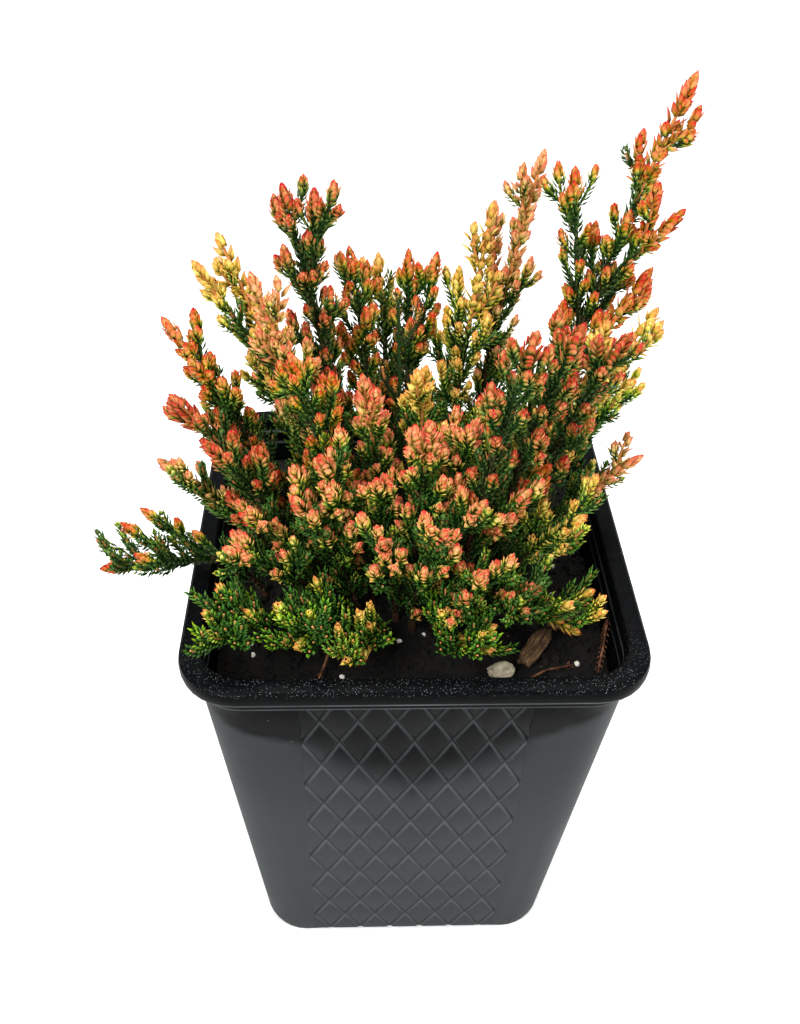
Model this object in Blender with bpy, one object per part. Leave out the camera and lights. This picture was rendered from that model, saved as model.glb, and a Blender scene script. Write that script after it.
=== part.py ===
"""Potted heather: a bushy foliage heather with coral, orange and yellow shoot tips in a
square nursery pot. Millimetres in the values below, metres in the mesh, +Z up. The pot
stands on the origin and its front face looks along -Y."""

import math
import random

import bmesh
import bpy
import numpy as np

MM = 0.001

# Pot
RIM_HALF = 54.0
POT_HEIGHT = 125.0
BODY_TOP_Z = 117.0
BODY_TOP_HALF = 50.5
BODY_FOOT_Z = 1.2
BODY_FOOT_HALF = 41.6
CORNER = 12.0
WALL = 1.3
FLOOR = 1.6
MOUTH_HALF = 48.8
FOOT_ARCH = 0.9
DRAIN_RADIUS = 4.0
DRAIN_OFFSET = 25.0
GAP = 0.3

# Quilted panel on each wall
DIAMOND_WIDE = 8.85
DIAMOND_HALF_ROW = 9.03
DIAMONDS_ACROSS = 6
HALF_ROWS = 12
PANEL_TOP_Z = 111.5
PAD_HEIGHT = 0.7

# Soil
SOIL_Z = 112.0
HOLE_DEPTH = 8.0
SPRING_Z = SOIL_Z + 2.6

# Shoots: core and scale-leaf radii, and how far apart the whorls of scales stand
CORE = 0.95
SCALE = 2.35
WHORL = 10.8
STEM_RADIUS = 1.25
BUD_LENGTH = 7.6
BUD_RADIUS = 2.5
CLEAR = 0.35

# Each leafy stem: name, where its tip stands, its colour, how many side shoots it has,
# and for a fork the share of its parent's length at which it leaves it.
STEMS = [
    ("tall_right", (56, 16, 234), "ember", 8),
    ("tall_right.side", (57, 9, 208), "ember", 1, 0.55),
    ("tall_right.bud", (34, 17, 214), "ember", 1, 0.50),
    ("back_pale", (30, 34, 211), "peach", 5),
    ("back_pale.lean", (19, 34, 198), "peach", 1, 0.55),
    ("back_yellow", (18, 25, 202), "gold", 4),
    ("back_yellow.left", (9, 24, 187), "ember", 0, 0.5),
    ("back_pair", (-1, 26, 190), "ember", 3),
    ("back_pair.right", (6, 24, 190), "ember", 0, 0.55),
    ("left_tall", (-29, 14, 211), "scarlet", 9),
    ("left_tall.right", (-22, 12, 211), "scarlet", 1, 0.72),
    ("left_gold", (-43, 9, 202), "gold", 5),
    ("left_gold.edge", (-48, 4, 198), "ember", 0, 0.6),
    ("left_edge", (-54, -6, 190), "ember", 3),
    ("left_edge.low", (-49, -9, 182), "ember", 0, 0.6),
    ("left_red", (-53, -14, 176), "scarlet", 4),
    ("left_maroon", (-46, -20, 168), "scarlet", 3),
    ("left_thin", (-57, -17, 161), "peach", 2),
    ("rim_creeper", (-80, -22, 132), "ember", 7),
    ("corner_mat", (-47, -41, 130), "lime", 5),
    ("corner_coral", (-42, -34, 150), "coral", 3),
    ("left_coral", (-39, -25, 152), "coral", 3),
    ("left_mid", (-35, -5, 200), "peach", 5),
    ("left_front", (-27, -15, 187), "ember", 4),
    ("leaning_coral", (-12, -14, 181), "coral", 3),
    ("back_green", (-15, 23, 192), "ember", 6),
    ("back_left_gold", (-8, 36, 184), "gold", 4),
    ("bare_twig", (-4, 8, 189), "bare", 3),
    ("mid_gold", (2, -6, 178), "gold", 4),
    ("front_coral", (2, -28, 179), "coral", 4),
    ("front_coral_right", (13, -22, 175), "coral", 4),
    ("front_coral_left", (-21, -26, 169), "coral", 3),
    ("front_left", (-7, -24, 162), "coral", 3),
    ("front_star", (-27, -29, 160), "coral", 4),
    ("mid_yellow", (21, -12, 171), "gold", 4),
    ("near_red", (21, -31, 202), "scarlet", 4),
    ("near_red_right", (31, -25, 200), "scarlet", 4),
    ("near_rose", (42, -20, 195), "scarlet", 4),
    ("right_ember", (51, 12, 194), "ember", 4),
    ("right_gold", (51, -5, 192), "gold", 5),
    ("right_low", (58, 6, 144), "peach", 3),
    ("right_green", (55, 14, 161), "lime", 5),
    ("front_gold", (38, -24, 150), "gold", 4),
    ("right_coral", (30, -15, 160), "ember", 4),
    ("front_right", (24, -28, 161), "coral", 3),
    ("front_stars", (14, -33, 162), "coral", 3),
    ("low_star", (5, -41, 161), "coral", 3),
    ("low_left", (-8, -37, 155), "coral", 3),
    ("low_mid", (14, -42, 150), "coral", 3),
    ("low_right", (27, -38, 141), "coral", 2),
    ("front_mat", (13, -40, 123), "lime", 4),
    ("front_mat_left", (-27, -42, 128), "lime", 4),
    ("soil_tip", (40, -30, 118), "gold", 3),
    ("soil_sprig", (-13, -42, 122), "gold", 1),
    ("rear_left", (-40, 30, 160), "coral", 4),
    ("rear_left_low", (-24, 43, 148), "ember", 4),
    ("rear_middle", (-3, 46, 150), "coral", 4),
    ("rear_middle_low", (12, 38, 160), "lime", 3),
    ("rear_right", (28, 44, 150), "ember", 4),
    ("rear_right_low", (45, 34, 148), "coral", 4),
    ("rear_corner", (-50, 16, 148), "ember", 3),
]
COLOURS = {
    "ember": (0.80, 0.16, 0.06),
    "scarlet": (0.72, 0.08, 0.05),
    "coral": (0.85, 0.21, 0.13),
    "peach": (0.83, 0.36, 0.17),
    "gold": (0.72, 0.52, 0.12),
    "lime": (0.16, 0.28, 0.03),
    "bare": (0.11, 0.05, 0.03),
}


def unit(v):
    return v / max(float(np.linalg.norm(v)), 1e-9)


def bezier(a, b, c, n):
    t = np.linspace(0.0, 1.0, n)[:, None]
    return (1 - t) ** 2 * a + 2 * t * (1 - t) * b + t * t * c


def measure(path):
    steps = np.linalg.norm(np.diff(path, axis=0), axis=1)
    return np.concatenate([[0.0], np.cumsum(steps)])


def along(path, s):
    run = measure(path)
    s = min(max(s, 0.0), float(run[-1]))
    return np.array([np.interp(s, run, path[:, k]) for k in range(3)])


def heading(path, s):
    end = float(measure(path)[-1])
    return unit(along(path, min(s + 1.5, end)) - along(path, max(s - 1.5, 0.0)))


# The crown: where each stem leaves the soil, and the way it takes to its tip
def lay_out_stems():
    names = [row[0] for row in STEMS]
    roots = []
    for row in STEMS:
        tip = np.array(row[1], float)
        roots.append(np.array([0.46 * tip[0], 0.55 * tip[1] + 1.0, SPRING_Z]))
    mains = [i for i, row in enumerate(STEMS) if len(row) == 4]
    for _ in range(80):
        for i in mains:
            for j in mains:
                if j <= i:
                    continue
                apart = (roots[i] - roots[j])[:2]
                dist = float(np.linalg.norm(apart))
                if dist < 5.6:
                    push = apart / max(dist, 0.01) * (5.6 - dist) * 0.5
                    roots[i][:2] += push
                    roots[j][:2] -= push
        for i in mains:
            reach = float(np.abs(roots[i][:2]).max())
            if reach > 41.0:
                roots[i][:2] *= 41.0 / reach
    paths = []
    for i, row in enumerate(STEMS):
        tip = np.array(row[1], float)
        if len(row) == 5:
            parent = paths[names.index(row[0].split(".")[0])]
            start = along(parent, row[4] * measure(parent)[-1])
            knee = start + (tip - start) * 0.5 + np.array([0.0, 0.0, -3.0])
            paths.append(bezier(start, knee, tip, 18))
            continue
        root = roots[i]
        rise = tip[2] - root[2]
        lean = (tip - root)[:2]
        knee = np.array([root[0] + 0.30 * lean[0], root[1] + 0.30 * lean[1],
                         root[2] + max(0.62 * rise, 0.16 * float(np.linalg.norm(lean)) + 10)])
        paths.append(bezier(root, knee, tip, 18))
    owner = [row[0].split(".")[0] for row in STEMS]
    span = np.linspace(0.0, 1.0, 18)[:, None]
    for _ in range(70):
        cloud = np.concatenate(paths)
        whose = np.repeat([names.index(o) for o in owner], 18)
        gap = cloud[:, None, :] - cloud[None, :, :]
        dist = np.linalg.norm(gap, axis=2) + 1e-6
        near = (dist < 6.0) & (whose[:, None] != whose[None, :])
        pull = np.where(near, (6.0 - dist) * 0.28, 0.0)
        shift = (gap / dist[:, :, None] * pull[:, :, None]).sum(axis=1)
        for i in range(len(paths)):
            move = shift[i * 18:(i + 1) * 18]
            paths[i] = paths[i] + move * np.minimum(span * 4.0, 1.0) * (1.15 - 0.55 * span)
            smooth = paths[i].copy()
            smooth[1:-1] = 0.5 * paths[i][1:-1] + 0.25 * (paths[i][:-2] + paths[i][2:])
            paths[i] = smooth
            paths[i] = keep_off_pot(paths[i])
            if len(STEMS[i]) == 5:
                parent = paths[names.index(owner[i])]
                step = along(parent, STEMS[i][4] * measure(parent)[-1]) - paths[i][0]
                paths[i] = paths[i] + step * (1 - span)
            else:
                paths[i][0] = roots[i]
    return paths, owner


def keep_off_pot(path):
    path = path.copy()
    over = np.abs(path[:, :2]).max(axis=1)
    low = path[:, 2] < POT_HEIGHT + 3.4
    lift = low & (over > 43.5)
    path[lift, 2] += np.minimum(0.8, POT_HEIGHT + 3.4 - path[lift, 2])
    near_soil = path[:, 2] < SOIL_Z + 4.6
    near_soil[:3] = False
    path[near_soil, 2] += 0.5
    return path


def is_clear(points, radius, own, taken):
    for p in points:
        reach = float(np.abs(p[:2]).max()) + radius
        if p[2] - radius < SOIL_Z + 2.0:
            return False
        if reach > 48.0 and p[2] - radius < POT_HEIGHT + 0.6:
            return False
    for name, cloud, size in taken:
        if name == own:
            continue
        dist = np.linalg.norm(points[:, None, :] - cloud[None, :, :], axis=2).min()
        if dist < radius + size + CLEAR:
            return False
    return True


def dense(path, step=2.0):
    end = float(measure(path)[-1])
    return np.array([along(path, s) for s in np.arange(0.0, end + step, step)])


# Side shoots stand in turn around their stem and bend up towards its tip
def grow_sides(paths, owner):
    rng = random.Random(41)
    taken = [(owner[i], dense(paths[i]), SCALE) for i in range(len(paths))]
    sides = []
    for i, row in enumerate(STEMS):
        length = float(measure(paths[i])[-1])
        first = 0.34 if len(row) == 4 else 0.30
        turn = rng.uniform(0.0, 6.28)
        for k in range(row[3]):
            share = first + (0.90 - first) * (k + 0.5) / row[3]
            at = along(paths[i], share * length)
            axis = heading(paths[i], share * length)
            flat = 1.0 - abs(float(axis[2]))
            size = (23.0 - 13.0 * share) * rng.uniform(0.85, 1.15)
            turn += 2.4
            ref = unit(np.cross(axis, np.array([0.31, 0.17, 0.93])))
            other = np.cross(axis, ref)
            for bend, cut in ((0, 1), (0.7, 1), (-0.7, 1), (1.4, 0.85), (-1.4, 0.85),
                              (2.4, 0.8), (3.14, 0.8), (0, 0.62), (0.9, 0.62),
                              (-0.9, 0.62), (2.2, 0.6), (-2.2, 0.6)):
                a = turn + bend
                out = math.cos(a) * ref + math.sin(a) * other
                out = unit(out + np.array([0.0, 0.0, 1.1 * flat]))
                span = size * cut
                mid = at + unit(0.72 * axis + 0.72 * out) * span * 0.5
                end = mid + unit(0.80 * axis + 0.30 * out + np.array([0, 0, 0.35])) * span * 0.5
                path = bezier(at, mid, end, 8)
                if is_clear(path[2:], 2.5, owner[i], taken):
                    taken.append((owner[i], dense(path[1:]), 2.5))
                    sides.append((owner[i], path, row[2]))
                    break
    return sides


# Mesh helpers
def material(name, colour, rough, metal=0.0):
    mat = bpy.data.materials.get(name)
    if mat is None:
        mat = bpy.data.materials.new(name)
        mat.use_nodes = True
        shader = mat.node_tree.nodes["Principled BSDF"]
        shader.inputs["Base Color"].default_value = (*colour, 1.0)
        shader.inputs["Roughness"].default_value = rough
        shader.inputs["Metallic"].default_value = metal
    return mat


def make(name, verts, faces, mat, home=None):
    mesh = bpy.data.meshes.new(name)
    mesh.from_pydata([[c * MM for c in v] for v in verts], [], faces)
    bm = bmesh.new()
    bm.from_mesh(mesh)
    bmesh.ops.recalc_face_normals(bm, faces=bm.faces)
    bm.to_mesh(mesh)
    bm.free()
    obj = bpy.data.objects.new(name, mesh)
    (home or bpy.context.scene.collection).objects.link(obj)
    if mat is not None:
        obj.data.materials.append(mat)
    return obj


def combine(target, pieces, operation):
    """One Boolean on a collection of pieces, applied, and the pieces then removed."""
    if not pieces:
        return
    home = bpy.data.collections.new("pieces")
    bpy.context.scene.collection.children.link(home)
    for piece in pieces:
        for old in list(piece.users_collection):
            old.objects.unlink(piece)
        home.objects.link(piece)
    mod = target.modifiers.new("combine", "BOOLEAN")
    mod.operation = operation
    mod.solver = "MANIFOLD"
    mod.operand_type = "COLLECTION"
    mod.collection = home
    bpy.context.view_layer.update()
    graph = bpy.context.evaluated_depsgraph_get()
    mesh = bpy.data.meshes.new_from_object(target.evaluated_get(graph))
    target.modifiers.remove(mod)
    old_mesh = target.data
    target.data = mesh
    bpy.data.meshes.remove(old_mesh)
    for piece in pieces:
        bpy.data.objects.remove(piece)
    bpy.data.collections.remove(home)
    keep_one_skin(target)


def keep_one_skin(obj):
    """Fill what the fusing sealed inside and drop loose scraps: the largest skin stays."""
    bm = bmesh.new()
    bm.from_mesh(obj.data)
    seen = set()
    skins = []
    for start in bm.verts:
        if start in seen:
            continue
        seen.add(start)
        skin = [start]
        queue = [start]
        while queue:
            vert = queue.pop()
            for edge in vert.link_edges:
                other = edge.other_vert(vert)
                if other not in seen:
                    seen.add(other)
                    skin.append(other)
                    queue.append(other)
        skins.append(skin)
    skins.sort(key=len)
    for skin in skins[:-1]:
        bmesh.ops.delete(bm, geom=skin, context="VERTS")
    bm.to_mesh(obj.data)
    bm.free()


def loft(rings, cap_start=True, cap_end=True, loop=False):
    count = len(rings[0])
    verts = [v for ring in rings for v in ring]
    faces = []
    total = len(rings)
    for r in range(total if loop else total - 1):
        low = r * count
        high = ((r + 1) % total) * count
        for k in range(count):
            n = (k + 1) % count
            faces.append((low + k, low + n, high + n, high + k))
    if cap_start and not loop:
        faces.append(tuple(reversed(range(count))))
    if cap_end and not loop:
        faces.append(tuple(range((total - 1) * count, total * count)))
    return verts, faces


def rounded_square(half, corner, z, arch=0.0):
    """A ring of 24 points: five to a corner and one at the middle of each side."""
    ring = []
    inner = half - corner
    for side in range(4):
        base = side * math.pi / 2
        cx = inner * (1 if side in (0, 3) else -1)
        cy = inner * (1 if side in (0, 1) else -1)
        for k in range(5):
            a = base + k * math.pi / 8
            ring.append((cx + corner * math.cos(a), cy + corner * math.sin(a), z))
        a = base + math.pi / 2
        ring.append((half * round(math.cos(a)), half * round(math.sin(a)), z + arch))
    return ring


def wall_half(z):
    share = (z - BODY_FOOT_Z) / (BODY_TOP_Z - BODY_FOOT_Z)
    return BODY_FOOT_HALF + (BODY_TOP_HALF - BODY_FOOT_HALF) * share


# The moulded pot: one skin from the foot up over the rolled rim and down inside
def build_pot():
    plastic = material("black_nursery_plastic", (0.012, 0.013, 0.014), 0.42)
    rings = [
        rounded_square(34.0, 9.0, 0.0),
        rounded_square(40.6, CORNER, 0.0, FOOT_ARCH),
        rounded_square(BODY_FOOT_HALF, CORNER, BODY_FOOT_Z, FOOT_ARCH),
        rounded_square(BODY_TOP_HALF, CORNER, BODY_TOP_Z),
        rounded_square(51.7, CORNER + 0.8, BODY_TOP_Z + 0.3),
        rounded_square(51.9, CORNER + 0.8, 120.4),
        rounded_square(53.3, CORNER + 1.4, 120.6),
        rounded_square(RIM_HALF, CORNER + 1.8, 121.5),
        rounded_square(RIM_HALF, CORNER + 1.8, 124.1),
        rounded_square(53.2, CORNER + 1.4, POT_HEIGHT),
        rounded_square(49.5, CORNER - 1.2, POT_HEIGHT),
        rounded_square(MOUTH_HALF, CORNER - 1.6, 124.3),
        rounded_square(wall_half(FLOOR) - WALL, CORNER - 1.3, FLOOR),
    ]
    verts, faces = loft(rings)
    pot = make("pot", verts, faces, plastic)
    panels = []
    slope = (BODY_TOP_HALF - BODY_FOOT_HALF) / (BODY_TOP_Z - BODY_FOOT_Z)
    lean = math.cos(math.atan(slope))
    for side in range(4):
        panels.append(build_panel(side, lean, plastic))
    combine(pot, panels, "UNION")
    drains = []
    for sx in (-1, 1):
        for sy in (-1, 1):
            ring = [(sx * DRAIN_OFFSET + DRAIN_RADIUS * math.cos(k * math.pi / 5),
                     sy * DRAIN_OFFSET + DRAIN_RADIUS * math.sin(k * math.pi / 5))
                    for k in range(10)]
            verts, faces = loft([[(x, y, -1.0) for x, y in ring],
                                 [(x, y, FLOOR + 1.0) for x, y in ring]])
            drains.append(make("drain", verts, faces, None))
    combine(pot, drains, "DIFFERENCE")


def build_panel(side, lean, plastic):
    """A net of diamond pads, each drawn up to a low point, sunk in the wall behind."""
    index = {}
    verts = []
    faces = []

    def place(u, w, proud):
        key = (u, w, proud > 0.3)
        if key in index:
            return index[key]
        x = (u - DIAMONDS_ACROSS) * DIAMOND_WIDE / 2
        z = PANEL_TOP_Z - w * DIAMOND_HALF_ROW
        y = -(wall_half(z) + proud) / 1.0
        a = side * math.pi / 2
        index[key] = len(verts)
        verts.append((x * math.cos(a) - y * math.sin(a), x * math.sin(a) + y * math.cos(a), z))
        return index[key]

    top = []
    for w in range(HALF_ROWS):
        for u in range(1, 2 * DIAMONDS_ACROSS):
            if (u + w) % 2:
                continue
            left = place(u - 1, w, 0.08)
            right = place(u + 1, w, 0.08)
            high = place(u, w - 1, 0.08)
            low = place(u, w + 1, 0.08)
            peak = place(u, w, PAD_HEIGHT)
            top.append((left, high, right, low))
            for a, b in ((left, high), (high, right), (right, low), (low, left)):
                faces.append((a, b, peak))
    count = len(verts)
    shift = []
    for x, y, z in verts:
        a = -side * math.pi / 2
        fy = x * math.sin(a) + y * math.cos(a)
        fx = x * math.cos(a) - y * math.sin(a)
        fy = -(wall_half(z) - 0.7 * WALL)
        a = -a
        shift.append((fx * math.cos(a) - fy * math.sin(a), fx * math.sin(a) + fy * math.cos(a), z))
    edges = {}
    for quad in top:
        for k in range(4):
            a, b = quad[k], quad[(k + 1) % 4]
            edges[(a, b)] = True
    for quad in top:
        faces.append(tuple(count + v for v in reversed(quad)))
    for a, b in edges:
        if (b, a) not in edges:
            faces.append((b, a, count + a, count + b))
    mesh_verts = verts + shift
    used = sorted({v for f in faces for v in f})
    remap = {v: k for k, v in enumerate(used)}
    return make("panel", [mesh_verts[v] for v in used],
                [tuple(remap[v] for v in f) for f in faces], plastic)


# Potting soil: fills the pot below the rim, crumbly on top, with a hole for each stem
def soil_height(x, y):
    return (SOIL_Z + 0.9 * math.sin(x * 0.19 + 1.1) * math.cos(y * 0.16)
            + 0.5 * math.sin(x * 0.41 - y * 0.33))


def build_soil(paths):
    earth = material("potting_soil", (0.010, 0.007, 0.005), 0.95)
    mouth = MOUTH_HALF + (wall_half(FLOOR) - WALL - MOUTH_HALF) * (124.3 - 111) / (124.3 - FLOOR)
    foot = wall_half(FLOOR) - WALL - GAP
    rings = [rounded_square(foot, CORNER - 1.6, FLOOR + GAP),
             rounded_square(mouth - GAP - 0.1, CORNER - 2.0, 110.4)]
    for half in (44.0, 33.0, 21.0, 9.0):
        ring = []
        for x, y, z in rounded_square(half, half * 0.3, 0.0):
            ring.append((x, y, soil_height(x, y)))
        rings.append(ring)
    verts, faces = loft(rings)
    soil = make("soil", verts, faces, earth)
    rng = random.Random(7)
    crumbs = []
    for k in range(6):
        x = rng.uniform(14, 43) * (1 if k % 4 else -1)
        y = rng.uniform(-43, -18) if k % 3 else rng.uniform(18, 43)
        if min(np.hypot(x - p[0][0], y - p[0][1]) for p in paths) < 4.4:
            continue
        r = rng.uniform(1.2, 2.1)
        z = soil_height(x, y) + 0.1
        verts = [(x + r, y, z), (x, y + r, z), (x - r, y, z), (x, y - r, z),
                 (x + 0.3, y, z + 0.8 * r), (x, y, z - 1.6)]
        faces = [(0, 1, 4), (1, 2, 4), (2, 3, 4), (3, 0, 4),
                 (1, 0, 5), (2, 1, 5), (3, 2, 5), (0, 3, 5)]
        crumbs.append(make("crumb", verts, faces, earth))
    combine(soil, crumbs, "UNION")
    holes = []
    for path, row in zip(paths, STEMS):
        if len(row) == 5:
            continue
        x, y = path[0][0], path[0][1]
        ring = [(x + (STEM_RADIUS + 0.95) * math.cos(k * math.pi / 2),
                 y + (STEM_RADIUS + 0.95) * math.sin(k * math.pi / 2)) for k in range(4)]
        verts, faces = loft([[(px, py, SOIL_Z - HOLE_DEPTH - GAP) for px, py in ring],
                             [(px, py, SOIL_Z + 6.0) for px, py in ring]])
        holes.append(make("hole", verts, faces, None))
    combine(soil, holes, "DIFFERENCE")


# A leafy shoot: a slim core with whorls of scale leaves that flare out and forward,
# four to a whorl on a stem and three on a side shoot, closing into a bud at its tip
def shoot_mesh(path, leafy_from, thick, whorl, bud, scale, ranks=4, layered=False, spring=0.0):
    run = measure(path)
    end = float(run[-1])
    bud_length = min(BUD_LENGTH, 0.6 * end)
    stop = end - (bud_length if bud else 3.0)
    tiers = max(1, int(round((stop - leafy_from) / whorl)))
    step = (stop - leafy_from) / tiers
    turn = 0.0
    half_turn = math.pi / ranks
    rings = [(0.0, thick, turn)]
    if spring:
        rings.append((spring, thick, turn))
    if leafy_from > 4.0:
        rings.append((leafy_from, CORE, turn))
    for k in range(tiers):
        s = leafy_from + k * step
        rings.append((s + 0.98 * step, scale * (0.94 if k % 2 else 1.0), turn))
        turn += half_turn
        rings.append((s + 0.82 * step, CORE, turn))
    if bud:
        rings.append((stop + 0.52 * bud_length, bud, turn))
    if layered:
        turn += half_turn
        rings.append((stop + 0.42 * bud_length, bud * 0.62, turn))
        rings.append((stop + 0.76 * bud_length, bud * 0.74, turn))
    verts = []
    faces = []
    ref = np.array([0.43, 0.21, 0.88])
    previous = None
    for index, (s, radius, turned) in enumerate(rings):
        axis = heading(path, s)
        ref = unit(ref - axis * float(ref @ axis))
        other = np.cross(axis, ref)
        at = along(path, s)
        for k in range(ranks):
            a = turned + k * 2 * half_turn
            verts.append(at + radius * (math.cos(a) * ref + math.sin(a) * other))
        low = (index - 1) * ranks
        high = index * ranks
        if previous is None:
            faces.append(tuple(reversed(range(ranks))))
        for k in range(ranks):
            n = (k + 1) % ranks
            if previous is None:
                continue
            if abs(previous - turned) < 0.01:
                faces.append((low + k, low + n, high + n, high + k))
            else:
                faces.append((low + k, low + n, high + k))
                faces.append((low + n, high + n, high + k))
        previous = turned
    verts.append(along(path, end))
    top = len(verts) - 1
    high = (len(rings) - 1) * ranks
    for k in range(ranks):
        faces.append((high + k, high + (k + 1) % ranks, top))
    return verts, faces


def build_stems(paths, owner, sides):
    count = 0
    for i, row in enumerate(STEMS):
        if len(row) == 5:
            continue
        name = row[0]
        bare = row[2] == "bare"
        leaf = material("heather_" + row[2], COLOURS[row[2]], 0.55)
        foot = np.array([paths[i][0][0], paths[i][0][1], SOIL_Z - HOLE_DEPTH])
        whole = np.concatenate([[foot], paths[i]])
        length = float(measure(whole)[-1])
        start = HOLE_DEPTH + 6.0 + 0.09 * (length - HOLE_DEPTH)
        verts, faces = shoot_mesh(whole, start, STEM_RADIUS, WHORL * (1.3 if bare else 1.0),
                                  0.0 if bare else BUD_RADIUS, 1.7 if bare else SCALE,
                                  layered=row[1][2] > 188 and not bare,
                                  spring=SPRING_Z - SOIL_Z + HOLE_DEPTH)
        stem = make(name, verts, faces, leaf)
        pieces = []
        for j, other in enumerate(STEMS):
            if len(other) == 5 and owner[j] == name:
                verts, faces = shoot_mesh(paths[j], 4.0, CORE * 0.9, WHORL, BUD_RADIUS, SCALE * 0.95)
                pieces.append(make("fork", verts, faces, leaf))
        for whose, path, kind in sides:
            if whose == name:
                verts, faces = shoot_mesh(path, 2.2, CORE * 0.84, 13.0,
                                          0.0 if bare else BUD_RADIUS,
                                          1.6 if bare else SCALE * 0.9, ranks=3)
                pieces.append(make("side", verts, faces, leaf))
        combine(stem, pieces, "UNION")
        stem.data.materials.clear()
        stem.data.materials.append(leaf)
        count += 1
    return count


# What lies on the soil: two chips of bark, a pale stone and a dead twig
def build_litter():
    bark = material("bark", (0.09, 0.05, 0.03), 0.9)
    stone = material("pale_stone", (0.35, 0.31, 0.24), 0.8)
    for name, x, y, turn, long, wide in (("bark_chip_front", 29.5, -31.0, 0.95, 12, 4.4),
                                         ("bark_chip_back", 38.5, -20.5, 0.72, 11, 4.0)):
        z = SOIL_Z + 2.4
        rings = []
        for share, width, tall in ((-0.5, 0.35, 0.7), (-0.3, 0.9, 1.5), (0.15, 1.0, 1.8),
                                   (0.5, 0.5, 0.8)):
            ring = []
            for a in range(6):
                t = a * math.pi / 3 + 0.3
                u = share * long
                v = 0.5 * wide * width * math.cos(t)
                w = 0.5 * tall * math.sin(t) + 0.3 * share
                ring.append((x + u * math.cos(turn) - v * math.sin(turn),
                             y + u * math.sin(turn) + v * math.cos(turn), z + w))
            rings.append(ring)
        verts, faces = loft(rings)
        make(name, verts, faces, bark)
    rings = []
    for level, width in ((-1.1, 0.55), (-0.2, 1.0), (0.8, 0.85), (1.4, 0.35)):
        rings.append([(20.5 + 3.4 * width * math.cos(k * math.pi / 3 + 0.4),
                       -38.5 + 2.4 * width * math.sin(k * math.pi / 3 + 0.4),
                       SOIL_Z + 2.6 + level) for k in range(6)])
    verts, faces = loft(rings)
    make("pale_stone", verts, faces, stone)


def main():
    for obj in list(bpy.data.objects):
        bpy.data.objects.remove(obj)
    paths, owner = lay_out_stems()
    sides = grow_sides(paths, owner)
    build_pot()
    build_soil(paths)
    build_stems(paths, owner, sides)
    build_litter()


main()
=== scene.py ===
"""Looks of the potted heather. Lengths are written in millimetres and turned to metres
where a mesh is made. +Z is up and the pot's front wall looks along -Y."""

import math
import random

import bmesh
import bpy
import numpy as np
from mathutils import Matrix, Vector, noise


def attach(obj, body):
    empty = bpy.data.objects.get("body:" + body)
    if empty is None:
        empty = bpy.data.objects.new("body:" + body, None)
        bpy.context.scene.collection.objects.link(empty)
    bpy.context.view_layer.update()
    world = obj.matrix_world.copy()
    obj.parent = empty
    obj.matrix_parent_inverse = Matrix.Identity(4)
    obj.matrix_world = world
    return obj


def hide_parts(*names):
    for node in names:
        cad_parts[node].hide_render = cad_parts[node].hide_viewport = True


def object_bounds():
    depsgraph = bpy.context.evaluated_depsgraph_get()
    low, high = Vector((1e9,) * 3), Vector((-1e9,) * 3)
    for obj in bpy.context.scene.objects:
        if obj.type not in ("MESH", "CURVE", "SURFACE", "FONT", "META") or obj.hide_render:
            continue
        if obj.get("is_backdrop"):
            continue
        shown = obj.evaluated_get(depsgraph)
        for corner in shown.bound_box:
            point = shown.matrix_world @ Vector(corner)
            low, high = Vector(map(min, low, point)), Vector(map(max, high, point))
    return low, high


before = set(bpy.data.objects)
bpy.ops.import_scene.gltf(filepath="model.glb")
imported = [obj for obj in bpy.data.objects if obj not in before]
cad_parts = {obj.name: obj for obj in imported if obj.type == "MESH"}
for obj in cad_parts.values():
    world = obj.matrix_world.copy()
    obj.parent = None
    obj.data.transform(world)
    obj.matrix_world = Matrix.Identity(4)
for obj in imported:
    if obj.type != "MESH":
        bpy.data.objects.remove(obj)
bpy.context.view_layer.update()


# Camera
# Held by hand in front of the pot, 40 degrees above it and close to, a little turned and
# rolled. Its place was solved from the rim lines and the quilt of the front wall.
MM = 0.001
pitch = math.radians(40.5)
yaw = math.radians(2.63)
roll = math.radians(1.49)
ahead = Vector((math.sin(yaw) * math.cos(pitch), math.cos(yaw) * math.cos(pitch),
                -math.sin(pitch)))
right = Vector((math.cos(yaw), -math.sin(yaw), 0.0))
down = ahead.cross(right)
camera_data = bpy.data.cameras.new("photo_camera")
camera_data.sensor_width = 36.0
camera_data.lens = 36.914
camera_data.clip_start = 0.01
camera = bpy.data.objects.new("photo_camera", camera_data)
bpy.context.scene.collection.objects.link(camera)
axes = Matrix((math.cos(roll) * right - math.sin(roll) * down,
               -math.sin(roll) * right - math.cos(roll) * down, -ahead))
camera.matrix_world = (Matrix.Translation(Vector((-11.9, -201.8, 303.6)) * MM)
                       @ axes.transposed().to_4x4())
bpy.context.scene.camera = camera


# Pot
# A thin blow-moulded nursery pot in black polypropylene: rolled rim, stacking collar, tapered
# walls with a quilt of flat bevelled diamonds, a little dented by handling and dusty.
def linear(code):
    """An sRGB hex colour as the linear colour that a node takes."""
    values = [int(code[k:k + 2], 16) / 255 for k in (1, 3, 5)]
    return [v / 12.92 if v < 0.04045 else ((v + 0.055) / 1.055) ** 2.4 for v in values] + [1.0]


def feed(node, inputs):
    """Sets the inputs of a node by name or place, or links them. A node given as a value is
    linked by the first of its outputs that is in use."""
    pairs = inputs.items() if isinstance(inputs, dict) else enumerate(inputs)
    for key, value in pairs:
        if isinstance(value, bpy.types.Node):
            value = next(socket for socket in value.outputs if socket.enabled)
        if isinstance(value, bpy.types.NodeSocket):
            node.id_data.links.new(value, node.inputs[key])
        else:
            node.inputs[key].default_value = value


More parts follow.
